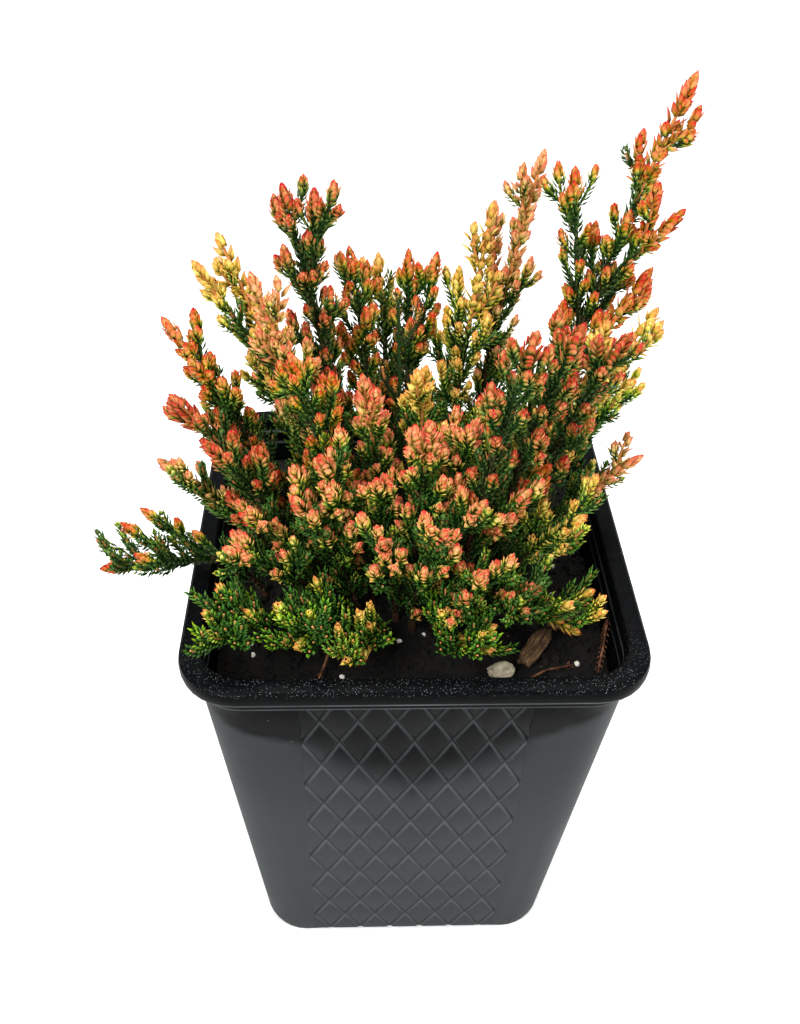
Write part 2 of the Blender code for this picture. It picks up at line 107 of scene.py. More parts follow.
def add(tree, kind, inputs=(), stops=(), **settings):
    """One node with its settings and inputs, and with the colour stops of a ramp."""
    node = tree.nodes.new(kind)
    for key, value in settings.items():
        setattr(node, key, value)
    feed(node, inputs)
    if stops:
        bar = node.color_ramp.elements
        bar.remove(bar[1])
        bar[0].position = stops[0][0]
        bar[0].color = linear(stops[0][1])
        for place, code in stops[1:]:
            bar.new(place).color = linear(code)
    return node


# What a math node does, how a range node eases, and what a mix node mixes.
TIMES = {"operation": "MULTIPLY"}
PLUS = {"operation": "ADD"}
MINUS = {"operation": "SUBTRACT"}
SMOOTH = {"interpolation_type": "SMOOTHSTEP"}
COLOUR = {"data_type": "RGBA"}


def new_surface(name, roughness, specular):
    mat = bpy.data.materials.new(name)
    mat.use_nodes = True
    shader = mat.node_tree.nodes["Principled BSDF"]
    shader.inputs["Roughness"].default_value = roughness
    shader.inputs["Specular IOR Level"].default_value = specular
    return mat, mat.node_tree, shader


def specks(tree, coords, spacing, largest, share):
    """A mask of small round grains, one to a cell of the spacing in millimetres. The share of
    the cells that hold one is given, and the largest radius as a part of the spacing."""
    cell = add(tree, "ShaderNodeTexVoronoi", {"Vector": coords, "Scale": 1000.0 / spacing})
    pick = add(tree, "ShaderNodeSeparateColor", {"Color": cell.outputs["Color"]})
    kept = add(tree, "ShaderNodeMapRange", (pick, 1.0 - share, 1.0, 0.0, 1.0), **SMOOTH)
    size = add(tree, "ShaderNodeMath", (kept, largest), **TIMES)
    inside = add(tree, "ShaderNodeMath", (size, cell), **MINUS)
    return add(tree, "ShaderNodeMath", (inside, 14.0), use_clamp=True, **TIMES)


def plastic_material():
    """Moulded polypropylene: near-black and dull. A grey of dust and of painted sheen, which
    stands for the pale floor's reflection, lightens it lower down and at the sides; the top of the
    wall is left near-black as painted shade under the rim, down to a crease on either side. The
    lower edges of the lip and the collar carry painted highlight lines, and the top of the rim
    holds grains of dust, drawn a little coarser than life."""
    mat, tree, shader = new_surface("black_polypropylene", 0.42, 0.03)
    coords = add(tree, "ShaderNodeTexCoord").outputs["Object"]
    split = add(tree, "ShaderNodeSeparateXYZ", (coords,)).outputs
    height = split["Z"]
    sides = [add(tree, "ShaderNodeMath", (split[axis],), operation="ABSOLUTE") for axis in "XY"]
    across = add(tree, "ShaderNodeMath", sides, operation="MINIMUM")
    # Clouds 29 mm wide, pores of 1.1 mm, drifts of dust 7 mm wide and ripples of 17 mm.
    cloud, pores, drifts, ripple = (
        add(tree, "ShaderNodeTexNoise", {"Vector": coords, "Scale": scale, "Detail": detail,
                                         "Roughness": 0.55})
        for scale, detail in ((34.0, 3.0), (900.0, 2.0), (140.0, 3.0), (60.0, 4.0)))

    # Painted sheen and shade: the wall is greyed below a line that climbs towards its corners. The
    # line is sharp along the crease near the corners and soft in the middle. The wall is greyer
    # still towards the foot, and above the line it stays near-black, under the rim.
    slope = add(tree, "ShaderNodeMath", (across, 0.60), **TIMES)
    shade_level = add(tree, "ShaderNodeMath", (height, slope), **MINUS)
    uneven = add(tree, "ShaderNodeMapRange", (cloud, 0.3, 0.7, -0.003, 0.003), **SMOOTH)
    shade_level = add(tree, "ShaderNodeMath", (shade_level, uneven), **PLUS)
    soft_edge = add(tree, "ShaderNodeMapRange", (shade_level, 0.090, 0.070, 0.0, 0.8), **SMOOTH)
    creased = add(tree, "ShaderNodeMapRange", (shade_level, 0.0855, 0.0815, 0.0, 0.8), **SMOOTH)
    outer = add(tree, "ShaderNodeMapRange", (across, 0.018, 0.032, 0.0, 1.0), **SMOOTH)
    middle = add(tree, "ShaderNodeMath", (1.0, outer), **MINUS)
    outer = add(tree, "ShaderNodeMath", (creased, outer), **TIMES)
    middle = add(tree, "ShaderNodeMath", (soft_edge, middle), **TIMES)
    dust_and_sheen = add(tree, "ShaderNodeMath", (outer, middle), **PLUS)
    foot = add(tree, "ShaderNodeMapRange", (shade_level, 0.070, 0.040, 0.0, 0.2), **SMOOTH)
    dust_and_sheen = add(tree, "ShaderNodeMath", (dust_and_sheen, foot), **PLUS)
    patches = add(tree, "ShaderNodeMapRange", (cloud, 0.25, 0.75, 0.82, 1.0), **SMOOTH)
    dust_and_sheen = add(tree, "ShaderNodeMath", (dust_and_sheen, patches), **TIMES)

    haze = add(tree, "ShaderNodeMapRange", (pores, 0.45, 0.75, 0.0, 0.06), **SMOOTH)
    # Painted shade in the grooves of the quilt.
    groove_shade = add(tree, "ShaderNodeAttribute", attribute_name="groove_shade").outputs["Fac"]
    groove_shade = add(tree, "ShaderNodeMath", (groove_shade, 0.8), **TIMES)
    # Painted highlight on the upper bevels of the quilt, stronger where the wall is greyed.
    bevel_highlight = add(tree, "ShaderNodeAttribute", attribute_name="bevel_highlight").outputs["Fac"]
    highlight_strength = add(tree, "ShaderNodeMapRange", (dust_and_sheen, 0.0, 0.8, 0.40, 0.72), **SMOOTH)
    bevel_highlight = add(tree, "ShaderNodeMath", (bevel_highlight, highlight_strength), **TIMES)

    # Painted highlight lines along the lower edges of the lip and of the collar, broken by the
    # cloud.
    bands = []
    for low, full, end, fade in ((0.1204, 0.1208, 0.1211, 0.1216),
                                 (0.1167, 0.1170, 0.1173, 0.1178)):
        above = add(tree, "ShaderNodeMapRange", (height, low, full, 0.0, 1.0), **SMOOTH)
        below = add(tree, "ShaderNodeMapRange", (height, fade, end, 0.0, 1.0), **SMOOTH)
        bands.append(add(tree, "ShaderNodeMath", (above, below), **TIMES))
    edges = add(tree, "ShaderNodeMath", bands, operation="MAXIMUM")
    edge_highlight = add(tree, "ShaderNodeMapRange", (cloud, 0.3, 0.7, 0.25, 0.8), **SMOOTH)
    edge_highlight = add(tree, "ShaderNodeMath", (edges, edge_highlight), **TIMES)

    top = add(tree, "ShaderNodeMapRange", (height, 0.1236, 0.1244, 0.0, 1.0), **SMOOTH)
    front = add(tree, "ShaderNodeMapRange", (split["Y"], -0.030, -0.048, 0.12, 1.0), **SMOOTH)
    where = add(tree, "ShaderNodeMath", (top, front), **TIMES)
    drifts = add(tree, "ShaderNodeMapRange", (drifts, 0.30, 0.60, 0.40, 0.85), **SMOOTH)
    dust = add(tree, "ShaderNodeMath", (specks(tree, coords, 0.26, 0.34, 0.45),
                                        specks(tree, coords, 0.50, 0.20, 0.40)),
               operation="MAXIMUM")
    for mask in (where, drifts):
        dust = add(tree, "ShaderNodeMath", (dust, mask), **TIMES)
    dirt = add(tree, "ShaderNodeMath", (specks(tree, coords, 2.4, 0.08, 0.25), 0.5), **TIMES)

    # The colours in order: dust and painted sheen, fine grain, painted groove shade, painted bevel
    # highlight, painted highlight lines on the lip and collar edges, grains of dust, grains of dirt.
    base = linear("#040506")
    for mask, code in ((dust_and_sheen, "#35383A"), (haze, "#26292B"), (groove_shade, "#050607"),
                       (bevel_highlight, "#54585A"), (edge_highlight, "#5C6163"), (dust, "#7C8082"),
                       (dirt, "#A9A290")):
        base = add(tree, "ShaderNodeMix", {0: mask, 6: base, 7: linear(code)}, **COLOUR)
    rough = add(tree, "ShaderNodeMapRange", (cloud, 0.3, 0.7, 0.36, 0.46), **SMOOTH)
    dull = add(tree, "ShaderNodeMath", (dust_and_sheen, 0.10), **TIMES)
    rough = add(tree, "ShaderNodeMath", (rough, dull), **PLUS)
    pores = add(tree, "ShaderNodeMath", (pores, 0.08), **TIMES)
    ripple = add(tree, "ShaderNodeMath", (ripple, pores), **PLUS)
    bump = add(tree, "ShaderNodeBump", {"Height": ripple, "Strength": 0.35,
                                        "Distance": 0.5 * MM})
    feed(shader, {"Base Color": base, "Roughness": rough, "Normal": bump})
    return mat


def new_piece(name, verts, faces, mats, smooth=True):
    mesh = bpy.data.meshes.new(name)
    mesh.from_pydata([tuple(c * MM for c in v) for v in verts], [], faces)
    for mat in mats:
        mesh.materials.append(mat)
    for poly in mesh.polygons:
        poly.use_smooth = smooth
    obj = bpy.data.objects.new(name, mesh)
    bpy.context.scene.collection.objects.link(obj)
    return obj


def settle(obj):
    """The object's modifiers made into plain mesh."""
    bpy.context.view_layer.update()
    graph = bpy.context.evaluated_depsgraph_get()
    mesh = bpy.data.meshes.new_from_object(obj.evaluated_get(graph), depsgraph=graph)
    old = obj.data
    obj.modifiers.clear()
    obj.data = mesh
    bpy.data.meshes.remove(old)
    return obj


POT_HEIGHT = 125.0
FOOT_HALF = 41.6
FOOT_Z = 1.2
WALL_SPREAD = 8.9
WALL_RISE = 115.8
WALL_CORNER = 12.0
DRAIN_PLACE = 25.0
DRAIN_RADIUS = 4.0
# Pads: six half diamonds on either side of the middle of a wall. The limits are the lines
# where they are cut off: an axis, a place on it and the side that stays.
QUILT_HALF = 26.55
QUILT_DEPTH = 0.45
QUILT_TOP = 111.5
PAD_HALF_WIDTH = QUILT_HALF / 6
PAD_HALF_HEIGHT = 9.03
PAD_LIMITS = ((1, 116.6, 1), (1, 2.4, -1), (0, QUILT_HALF + 0.45, 1), (0, -QUILT_HALF - 0.45, -1))
UPPER_BEVEL = 1.05
LOWER_BEVEL = 0.62
PLAIN_EDGE = 0.02


def wall_half(z):
    """Half the width of the pot, which tapers evenly from the collar to the foot."""
    return FOOT_HALF + WALL_SPREAD * (z - FOOT_Z) / WALL_RISE


def wall_push(x, z):
    """How far a wall stands out from flat: pressed in at its top, proud lower down, and with
    a crease that runs down from each upper corner to the quilt."""
    middle = max(0.0, 1.0 - (x / 43.0) ** 4)
    hollow = -0.6 * math.exp(-((z - 103.0 - 0.10 * abs(x)) / 9.0) ** 2)
    belly = 0.35 * math.sin(math.pi * min(1.0, z / 80.0))
    crease = z - 111.0 + 0.30 * (34.0 - abs(x))
    fold = 0.75 * math.exp(-(crease / 3.2) ** 2) * max(0.0, min(1.0, (abs(x) - 16.0) / 16.0))
    return middle * (hollow + belly + fold) + QUILT_DEPTH * max(0.0, 1.0 - (x / 40.0) ** 6)


def turned(x, y, z, side):
    """A point of the front wall, taken round to one of the four sides."""
    turn = side * math.pi / 2
    return (x * math.cos(turn) - y * math.sin(turn), x * math.sin(turn) + y * math.cos(turn), z)


def pot_ring(half, corner, z, arch=0.0, pressed=False):
    """A ring of 88 points: from each side's left end along it, then round its corner. The
    wall is a step deeper behind the quilt."""
    ring = []
    inner = half - corner
    edge = min(QUILT_HALF + 0.15, 0.80 * inner) if not pressed else QUILT_HALF + 0.15
    step = (inner - edge) / 3
    spots = [-inner, -inner + step, -inner + 2 * step, -edge, -edge + 0.3, -17.5, -8.8, 0.0,
             8.8, 17.5, edge - 0.3, edge, edge + step, edge + 2 * step]
    if edge < 20.0:
        spots = [-inner + 2 * inner * k / 14 for k in range(14)]
    for side in range(4):
        for x in spots:
            y = -half
            if pressed:
                y -= wall_push(x, z) - (QUILT_DEPTH if abs(x) < QUILT_HALF else 0.0)
            ring.append(turned(x, y, z + arch * (1 - (x / inner) ** 2), side))
        for k in range(8):
            a = -math.pi / 2 + k * math.pi / 16
            ring.append(turned(inner + corner * math.cos(a), -inner + corner * math.sin(a), z,
                               side))
    return ring


def loft(rings):
    """A closed skin over rings that have the same number of points."""
    count = len(rings[0])
    verts = [v for ring in rings for v in ring]
    faces = []
    for start in range(0, len(verts) - count, count):
        for k in range(count):
            n = (k + 1) % count
            faces.append(tuple(start + v for v in (k, n, count + n, count + k)))
    faces.append(tuple(reversed(range(count))))
    faces.append(tuple(range(len(verts) - count, len(verts))))
    return verts, faces


def pot_skin():
    """The moulding inside and out, drawn over rings from the middle of the underside, up the
    wall, over the collar and the rim, and down to the inner floor. Each ring is given by half
    its width, its corner radius and its height, and at the foot by how far its sides arch."""
    rings = [pot_ring(*size) for size in (
        (30.0, 8.0, 0.5), (38.4, 11.0, 0.5, 0.6), (39.4, 11.5, 0.0, 0.9), (40.7, 12.0, 0.1, 0.9),
        (41.35, 12.0, 0.7, 0.9), (wall_half(2.2), WALL_CORNER, 2.2, 0.7))]
    for k in range(30):
        z = 5.0 + 111.0 * k / 29
        rings.append(pot_ring(wall_half(z), WALL_CORNER, z, pressed=True))
    rings += [pot_ring(*size) for size in (
        (50.6, 12.0, 116.7), (51.3, 12.4, 116.9), (51.8, 12.7, 117.2), (51.9, 12.8, 117.8),
        (51.9, 12.8, 119.5), (51.5, 12.7, 119.8), (50.9, 12.4, 119.9), (50.9, 12.4, 120.3),
        (53.2, 13.4, 120.5), (53.85, 13.7, 120.9), (54.0, 13.8, 121.8), (54.0, 13.8, 123.3),
        (53.8, 13.7, 124.2), (53.2, 13.4, 124.8), (52.3, 12.9, POT_HEIGHT),
        (50.3, 11.5, POT_HEIGHT), (49.3, 10.9, 124.8), (48.9, 10.5, 124.3),
        (48.7, 10.4, 123.5), (48.0, 10.4, 114.0), (40.3, 10.7, 1.6))]
    pot = new_piece("pot_moulding", *loft(rings), [])
    drains = []
    for x in (-DRAIN_PLACE, DRAIN_PLACE):
        for y in (-DRAIN_PLACE, DRAIN_PLACE):
            ring = [(x + DRAIN_RADIUS * math.cos(k * math.pi / 12),
                     y + DRAIN_RADIUS * math.sin(k * math.pi / 12)) for k in range(24)]
            drains.append(loft([[(*point, z) for point in ring] for z in (-1.0, 3.0)]))
    cutter_verts = [vert for verts, faces in drains for vert in verts]
    cutter_faces = [tuple(48 * number + v for v in face)
                    for number, (verts, faces) in enumerate(drains) for face in faces]
    cutter = new_piece("drain_cutter", cutter_verts, cutter_faces, [])
    cut = pot.modifiers.new("drains", "BOOLEAN")
    cut.operation = "DIFFERENCE"
    cut.solver = "MANIFOLD"
    cut.object = cutter
    settle(pot)
    bpy.data.objects.remove(cutter)
    return pot


def inset(corners, widths):
    """A polygon drawn in by a width of its own for each edge."""
    lines = []
    for (ax, az), (bx, bz), width in zip(corners, corners[1:] + corners[:1], widths):
        long = math.hypot(bx - ax, bz - az)
        nx, nz = -(bz - az) / long, (bx - ax) / long
        lines.append((nx, nz, nx * ax + nz * az + width))
    drawn = []
    for (a, b, c), (d, e, f) in zip(lines[-1:] + lines[:-1], lines):
        det = a * e - b * d
        drawn.append(((c * e - b * f) / det, (a * f - c * d) / det))
    return drawn


def clipped(corners, axis, limit, sign):
    """The part of a polygon on one side of a line along x or z."""
    kept = []
    for a, b in zip(corners, corners[1:] + corners[:1]):
        inside = sign * (limit - a[axis]) >= -1e-6
        if inside:
            kept.append(a)
        if inside != (sign * (limit - b[axis]) >= -1e-6):
            t = (limit - a[axis]) / (b[axis] - a[axis])
            kept.append((a[0] + t * (b[0] - a[0]), a[1] + t * (b[1] - a[1])))
    return [p for k, p in enumerate(kept) if math.dist(p, kept[k - 1]) > 0.05]


def quilt():
    """The pads of all four walls. Each is a flat diamond level with the wall, with a wide
    bevel on its upper edges and a steep one on its lower edges. With them come the weights of a
    painted highlight on the upper bevels and of painted shade in the grooves, darkest under the
    lower edges."""
    verts = []
    faces = []
    bevel_highlight = []
    groove_shade = []
    places = [(side, row, column) for side in range(4) for row in range(-1, 13)
              for column in range(row % 2, 13, 2)]
    for side, row, column in places:
        x, z = (column - 6) * QUILT_HALF / 6, QUILT_TOP - PAD_HALF_HEIGHT * row
        corners = [(x - PAD_HALF_WIDTH, z), (x, z - PAD_HALF_HEIGHT), (x + PAD_HALF_WIDTH, z),
                   (x, z + PAD_HALF_HEIGHT)]
        for limit in PAD_LIMITS:
            corners = clipped(corners, *limit)
        count = len(corners)
        if count < 3:
            continue
        widths = []
        for (ax, az), (bx, bz) in zip(corners, corners[1:] + corners[:1]):
            plain = abs(az - bz) < 0.01 or abs(ax - bx) < 0.01
            widths.append(PLAIN_EDGE if plain else LOWER_BEVEL if bx > ax else UPPER_BEVEL)
        halfway = inset(corners, [0.5 * width for width in widths])
        start = len(verts)
        # The rings' weights of a painted highlight, strongest on the middle of the upper bevels.
        for drawn, proud, edge_highlight in ((corners, -0.05, 0.1), (halfway, 0.27, 1.0),
                                   (inset(corners, widths), QUILT_DEPTH, 0.0)):
            for px, pz in drawn:
                high = min(1.0, max(0.0, 0.5 + (pz - z) / 14.0))
                # Painted shade in the grooves, darkest on the outline and under the lower edges.
                groove_shade_weight = 1.0 - 0.6 * high if proud < 0 else 0.85 - 0.85 * high
                bevel_highlight.append(edge_highlight * high)
                groove_shade.append(groove_shade_weight if proud < QUILT_DEPTH else 0.0)
                y = -(wall_half(pz) + wall_push(px, pz) - QUILT_DEPTH + proud)
                verts.append(turned(px, y, pz, side))
        for low in (start, start + count):
            for k in range(count):
                n = (k + 1) % count
                faces.append(tuple(low + v for v in (k, n, count + n, count + k)))
        faces.append(tuple(range(start + 2 * count, start + 3 * count)))
    return verts, faces, bevel_highlight, groove_shade


pot = pot_skin()
pad_verts, pad_faces, pad_bevel_highlight, pad_groove_shade = quilt()
pads = new_piece("quilt_pads", pad_verts, pad_faces, [], smooth=False)
# The pads carry the weights of the painted bevel highlight and groove shade; the moulding carries
# none.
for label, values in (("bevel_highlight", pad_bevel_highlight), ("groove_shade", pad_groove_shade)):
    pads.data.attributes.new(label, "FLOAT", "POINT").data.foreach_set("value", values)
    pot.data.attributes.new(label, "FLOAT", "POINT")
shape = bmesh.new()
shape.from_mesh(pot.data)
shape.from_mesh(pads.data)
bmesh.ops.recalc_face_normals(shape, faces=[f for f in shape.faces])
shape.to_mesh(pot.data)
shape.free()
bpy.data.objects.remove(pads)
pot.data.materials.clear()
pot.data.materials.append(plastic_material())
pot.data.set_sharp_from_angle(angle=math.radians(32))
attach(pot, "root")
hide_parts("pot")


# Soil
# Peat-based potting mix: near-black crumbs and fibres with a few white perlite grains. It
# fills the pot to 13 mm below the rim and has settled a little lower along the walls.
SOIL_Z = 112.0


def soil_height(x, y):
    """The CAD soil's surface, roughened."""
    flat = SOIL_Z + 0.9 * math.sin(x * 0.19 + 1.1) * math.cos(y * 0.16)
    flat += 0.5 * math.sin(x * 0.41 - y * 0.33)
    rough = noise.fractal(Vector((x * 0.30, y * 0.30, 4.1)), 0.6, 2.1, 5)
    edge = max(0.0, max(abs(x), abs(y)) - 41.0) * 0.25
    return flat + 1.1 * rough - edge


def soil_material():
    """Damp peat: almost black and matt, with brown fibres."""
    mat, tree, shader = new_surface("peat_potting_mix", 0.92, 0.25)
    coords = add(tree, "ShaderNodeTexCoord").outputs["Object"]
    coarse = add(tree, "ShaderNodeTexNoise", {"Vector": coords, "Scale": 260.0, "Detail": 5.0,
                                              "Roughness": 0.7})
    base = add(tree, "ShaderNodeValToRGB", (coarse,),
               stops=((0.30, "#040403"), (0.54, "#0B0806"), (0.68, "#17110B"),
                      (0.82, "#33271B")))
    fibre = add(tree, "ShaderNodeMath", (specks(tree, coords, 1.7, 0.22, 0.16), 0.6), **TIMES)
    base = add(tree, "ShaderNodeMix", {0: fibre, 6: base, 7: linear("#6E563C")}, **COLOUR)
    crumb = add(tree, "ShaderNodeTexNoise", {"Vector": coords, "Scale": 900.0, "Detail": 4.0,
                                             "Roughness": 0.7})
    bump = add(tree, "ShaderNodeBump", {"Height": crumb, "Strength": 0.9, "Distance": 0.6 * MM})
    feed(shader, {"Base Color": base, "Normal": bump})
    return mat


def pale_mineral(name, low, high):
    """A matt and porous mineral, in cloudy tones between two colours."""
    mat, tree, shader = new_surface(name, 0.75, 0.35)
    coords = add(tree, "ShaderNodeTexCoord").outputs["Object"]
    spot = add(tree, "ShaderNodeTexNoise", {"Vector": coords, "Scale": 520.0, "Detail": 4.0,
                                            "Roughness": 0.6})
    base = add(tree, "ShaderNodeValToRGB", (spot,), stops=((0.3, low), (0.65, high)))
    pores = add(tree, "ShaderNodeTexNoise", {"Vector": coords, "Scale": 1500.0, "Detail": 3.0,
                                             "Roughness": 0.55})
    bump = add(tree, "ShaderNodeBump", {"Height": pores, "Strength": 0.6, "Distance": 0.3 * MM})
    feed(shader, {"Base Color": base, "Normal": bump})
    return mat


def scatter(name, ground, mat, density, smallest, largest, seed, squash):
    """Grains strewn over the upward faces of the ground by a node tree, as a plain mesh."""
    tree = bpy.data.node_groups.new(name, "GeometryNodeTree")
    face = tree.interface
    face.new_socket("Geometry", in_out="INPUT", socket_type="NodeSocketGeometry")
    for label, kind, value in (("Density", "NodeSocketFloat", density),
                               ("Smallest", "NodeSocketFloat", smallest * MM),
                               ("Largest", "NodeSocketFloat", largest * MM),
                               ("Seed", "NodeSocketInt", seed)):
        face.new_socket(label, in_out="INPUT", socket_type=kind).default_value = value
    face.new_socket("Material", in_out="INPUT", socket_type="NodeSocketMaterial")
    face.new_socket("Geometry", in_out="OUTPUT", socket_type="NodeSocketGeometry")
    given = add(tree, "NodeGroupInput").outputs
    seeded = {"Seed": given["Seed"]}
    normal = add(tree, "ShaderNodeSeparateXYZ", (add(tree, "GeometryNodeInputNormal"),))
    upward = add(tree, "FunctionNodeCompare", (normal.outputs["Z"], 0.4),
                 operation="GREATER_THAN")
    points = add(tree, "GeometryNodeDistributePointsOnFaces",
                 {"Mesh": given["Geometry"], "Selection": upward, "Density": given["Density"],
                  **seeded})
    ball = add(tree, "GeometryNodeMeshIcoSphere", {"Radius": 1.0, "Subdivisions": 1})
    rough = add(tree, "ShaderNodeTexNoise", {"Scale": 1.3}).outputs["Color"]
    moved = add(tree, "ShaderNodeVectorMath", (rough, (0.5, 0.5, 0.5)), **MINUS)
    lumpy = add(tree, "GeometryNodeSetPosition", {"Geometry": ball, "Offset": moved})
    spin = add(tree, "FunctionNodeRandomValue",
               {0: (0.0, 0.0, 0.0), 1: (6.28, 6.28, 6.28), **seeded}, data_type="FLOAT_VECTOR")
    size = add(tree, "FunctionNodeRandomValue",
               {2: given["Smallest"], 3: given["Largest"], **seeded}, data_type="FLOAT")
    shape_by = add(tree, "FunctionNodeRandomValue",
                   {0: (0.6, 0.6, squash), 1: (1.3, 1.1, 1.0), **seeded},
                   data_type="FLOAT_VECTOR")
    scale = add(tree, "ShaderNodeVectorMath", {0: shape_by, "Scale": size}, operation="SCALE")
    grains = add(tree, "GeometryNodeInstanceOnPoints",
                 {"Points": points, "Instance": lumpy, "Rotation": spin, "Scale": scale})
    real = add(tree, "GeometryNodeRealizeInstances", (grains,))
    done = add(tree, "GeometryNodeSetMaterial", {"Geometry": real, "Material": given["Material"]})
    add(tree, "NodeGroupOutput", (done,))
    obj = bpy.data.objects.new(name, ground.data.copy())
    bpy.context.scene.collection.objects.link(obj)
    strew = obj.modifiers.new("strew", "NODES")
    strew.node_group = tree
    for item in face.items_tree:
        if item.name == "Material":
            strew[item.identifier] = mat
    settle(obj)
    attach(obj, "root")
    return obj


earth = soil_material()
rings = [pot_ring(39.9, 10.0, 2.0), pot_ring(47.4, 10.0, 108.5)]
for half in [47.3 - 0.9 * k for k in range(52)]:
    rings.append([(x, y, soil_height(x, y)) for x, y, z in pot_ring(half, half * 0.21, 0.0)])
verts, faces = loft(rings)
soil = new_piece("soil_block", verts, faces, [earth])
crumbs = scatter("soil_crumbs", soil, earth, 1.9e5, 0.35, 1.45, 11, 0.5)
perlite = scatter("perlite_grains", soil, pale_mineral("perlite", "#BDB8AC", "#F1EEE6"), 4.5e3,
                  0.3, 0.95, 5, 0.7)
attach(soil, "root")
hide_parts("soil")


# Heather
# Many upright woody stems, each clothed in tiny keeled scale leaves in four rows and tipped by
# a bud of overlapping scales that turns from green through yellow and orange to coral.
SPRING_Z = SOIL_Z + 2.6
STEM_RADIUS = 2.35
SIDE_RADIUS = 2.5
CLEAR = 0.35
ROOT_GAP = 5.6
ROOT_REACH = 41.0
STEM_GAP = 6.0
STEM_POINTS = 18
# Each stem's name, its tip, its colour and its number of side shoots. A fork is named after its
# stem, and ends with the share of the stem's length at which it leaves.
STEMS = [
    ("tall_right", (56, 16, 234), "ember", 8),
    ("tall_right.side", (57, 9, 208), "ember", 1, 0.55),
    ("tall_right.bud", (34, 17, 214), "ember", 1, 0.50),
    ("back_pale", (30, 34, 211), "peach", 5),
    ("back_pale.lean", (19, 34, 198), "peach", 1, 0.55),
    ("back_yellow", (18, 25, 202), "gold", 4),
    ("back_yellow.left", (9, 24, 187), "ember", 0, 0.5),
    ("back_pair", (-1, 26, 190), "ember", 3),
    ("back_pair.right", (6, 24, 190), "ember", 0, 0.55),
    ("left_tall", (-29, 14, 211), "scarlet", 9),
    ("left_tall.right", (-22, 12, 211), "scarlet", 1, 0.72),
    ("left_gold", (-43, 9, 202), "gold", 5),
    ("left_gold.edge", (-48, 4, 198), "ember", 0, 0.6),
    ("left_edge", (-54, -6, 190), "ember", 3),
    ("left_edge.low", (-49, -9, 182), "ember", 0, 0.6),
    ("left_red", (-53, -14, 176), "scarlet", 4),
    ("left_maroon", (-46, -20, 168), "scarlet", 3),
    ("left_thin", (-57, -17, 161), "peach", 2),
    ("rim_creeper", (-80, -22, 132), "ember", 7),
    ("corner_mat", (-47, -41, 130), "lime", 5),
    ("corner_coral", (-42, -34, 150), "coral", 3),
    ("left_coral", (-39, -25, 152), "coral", 3),
    ("left_mid", (-35, -5, 200), "peach", 5),
    ("left_front", (-27, -15, 187), "ember", 4),
    ("leaning_coral", (-12, -14, 181), "coral", 3),
    ("back_green", (-15, 23, 192), "ember", 6),
    ("back_left_gold", (-8, 36, 184), "gold", 4),
    ("bare_twig", (-4, 8, 189), "bare", 3),
    ("mid_gold", (2, -6, 178), "gold", 4),
    ("front_coral", (2, -28, 179), "coral", 4),
    ("front_coral_right", (13, -22, 175), "coral", 4),
    ("front_coral_left", (-21, -26, 169), "coral", 3),
    ("front_left", (-7, -24, 162), "coral", 3),
    ("front_star", (-27, -29, 160), "coral", 4),
    ("mid_yellow", (21, -12, 171), "gold", 4),
    ("near_red", (21, -31, 202), "scarlet", 4),
    ("near_red_right", (31, -25, 200), "scarlet", 4),
    ("near_rose", (42, -20, 195), "scarlet", 4),
    ("right_ember", (51, 12, 194), "ember", 4),
    ("right_gold", (51, -5, 192), "gold", 5),
    ("right_low", (58, 6, 144), "peach", 3),
    ("right_green", (55, 14, 161), "lime", 5),
    ("front_gold", (38, -24, 150), "gold", 4),
    ("right_coral", (30, -15, 160), "ember", 4),
    ("front_right", (24, -28, 161), "coral", 3),
    ("front_stars", (14, -33, 162), "coral", 3),
    ("low_star", (5, -41, 161), "coral", 3),
    ("low_left", (-8, -37, 155), "coral", 3),
    ("low_mid", (14, -42, 150), "coral", 3),
    ("low_right", (27, -38, 141), "coral", 2),
    ("front_mat", (13, -40, 123), "lime", 4),
    ("front_mat_left", (-27, -42, 128), "lime", 4),
    ("soil_tip", (40, -30, 118), "gold", 3),
    ("soil_sprig", (-13, -42, 122), "gold", 1),
    ("rear_left", (-40, 30, 160), "coral", 4),
    ("rear_left_low", (-24, 43, 148), "ember", 4),
    ("rear_middle", (-3, 46, 150), "coral", 4),
    ("rear_middle_low", (12, 38, 160), "lime", 3),
    ("rear_right", (28, 44, 150), "ember", 4),
    ("rear_right_low", (45, 34, 148), "coral", 4),
    ("rear_corner", (-50, 16, 148), "ember", 3),
]


def unit(v):
    return v / max(float(np.linalg.norm(v)), 1e-9)


def bezier(a, b, c, n):
    """A smooth path of n points from a to c, drawn towards b."""
    t = np.linspace(0.0, 1.0, n)[:, None]
    return (1 - t) ** 2 * a + 2 * t * (1 - t) * b + t * t * c


def measure(path):
    """How far along a path each of its points lies."""
    steps = np.linalg.norm(np.diff(path, axis=0), axis=1)
    return np.concatenate([[0.0], np.cumsum(steps)])


def along(path, s):
    """The place on a path, or the places, at a distance s from its start."""
    run = measure(path)
    return np.stack([np.interp(s, run, path[:, k]) for k in range(3)], axis=-1)


def heading(path, s):
    return unit(along(path, s + 1.5) - along(path, s - 1.5))


def around(axis):
    """Two directions square to an axis and to each other."""
    one = unit(np.cross(axis, np.array([0.31, 0.17, 0.93])))
    return one, np.cross(axis, one)


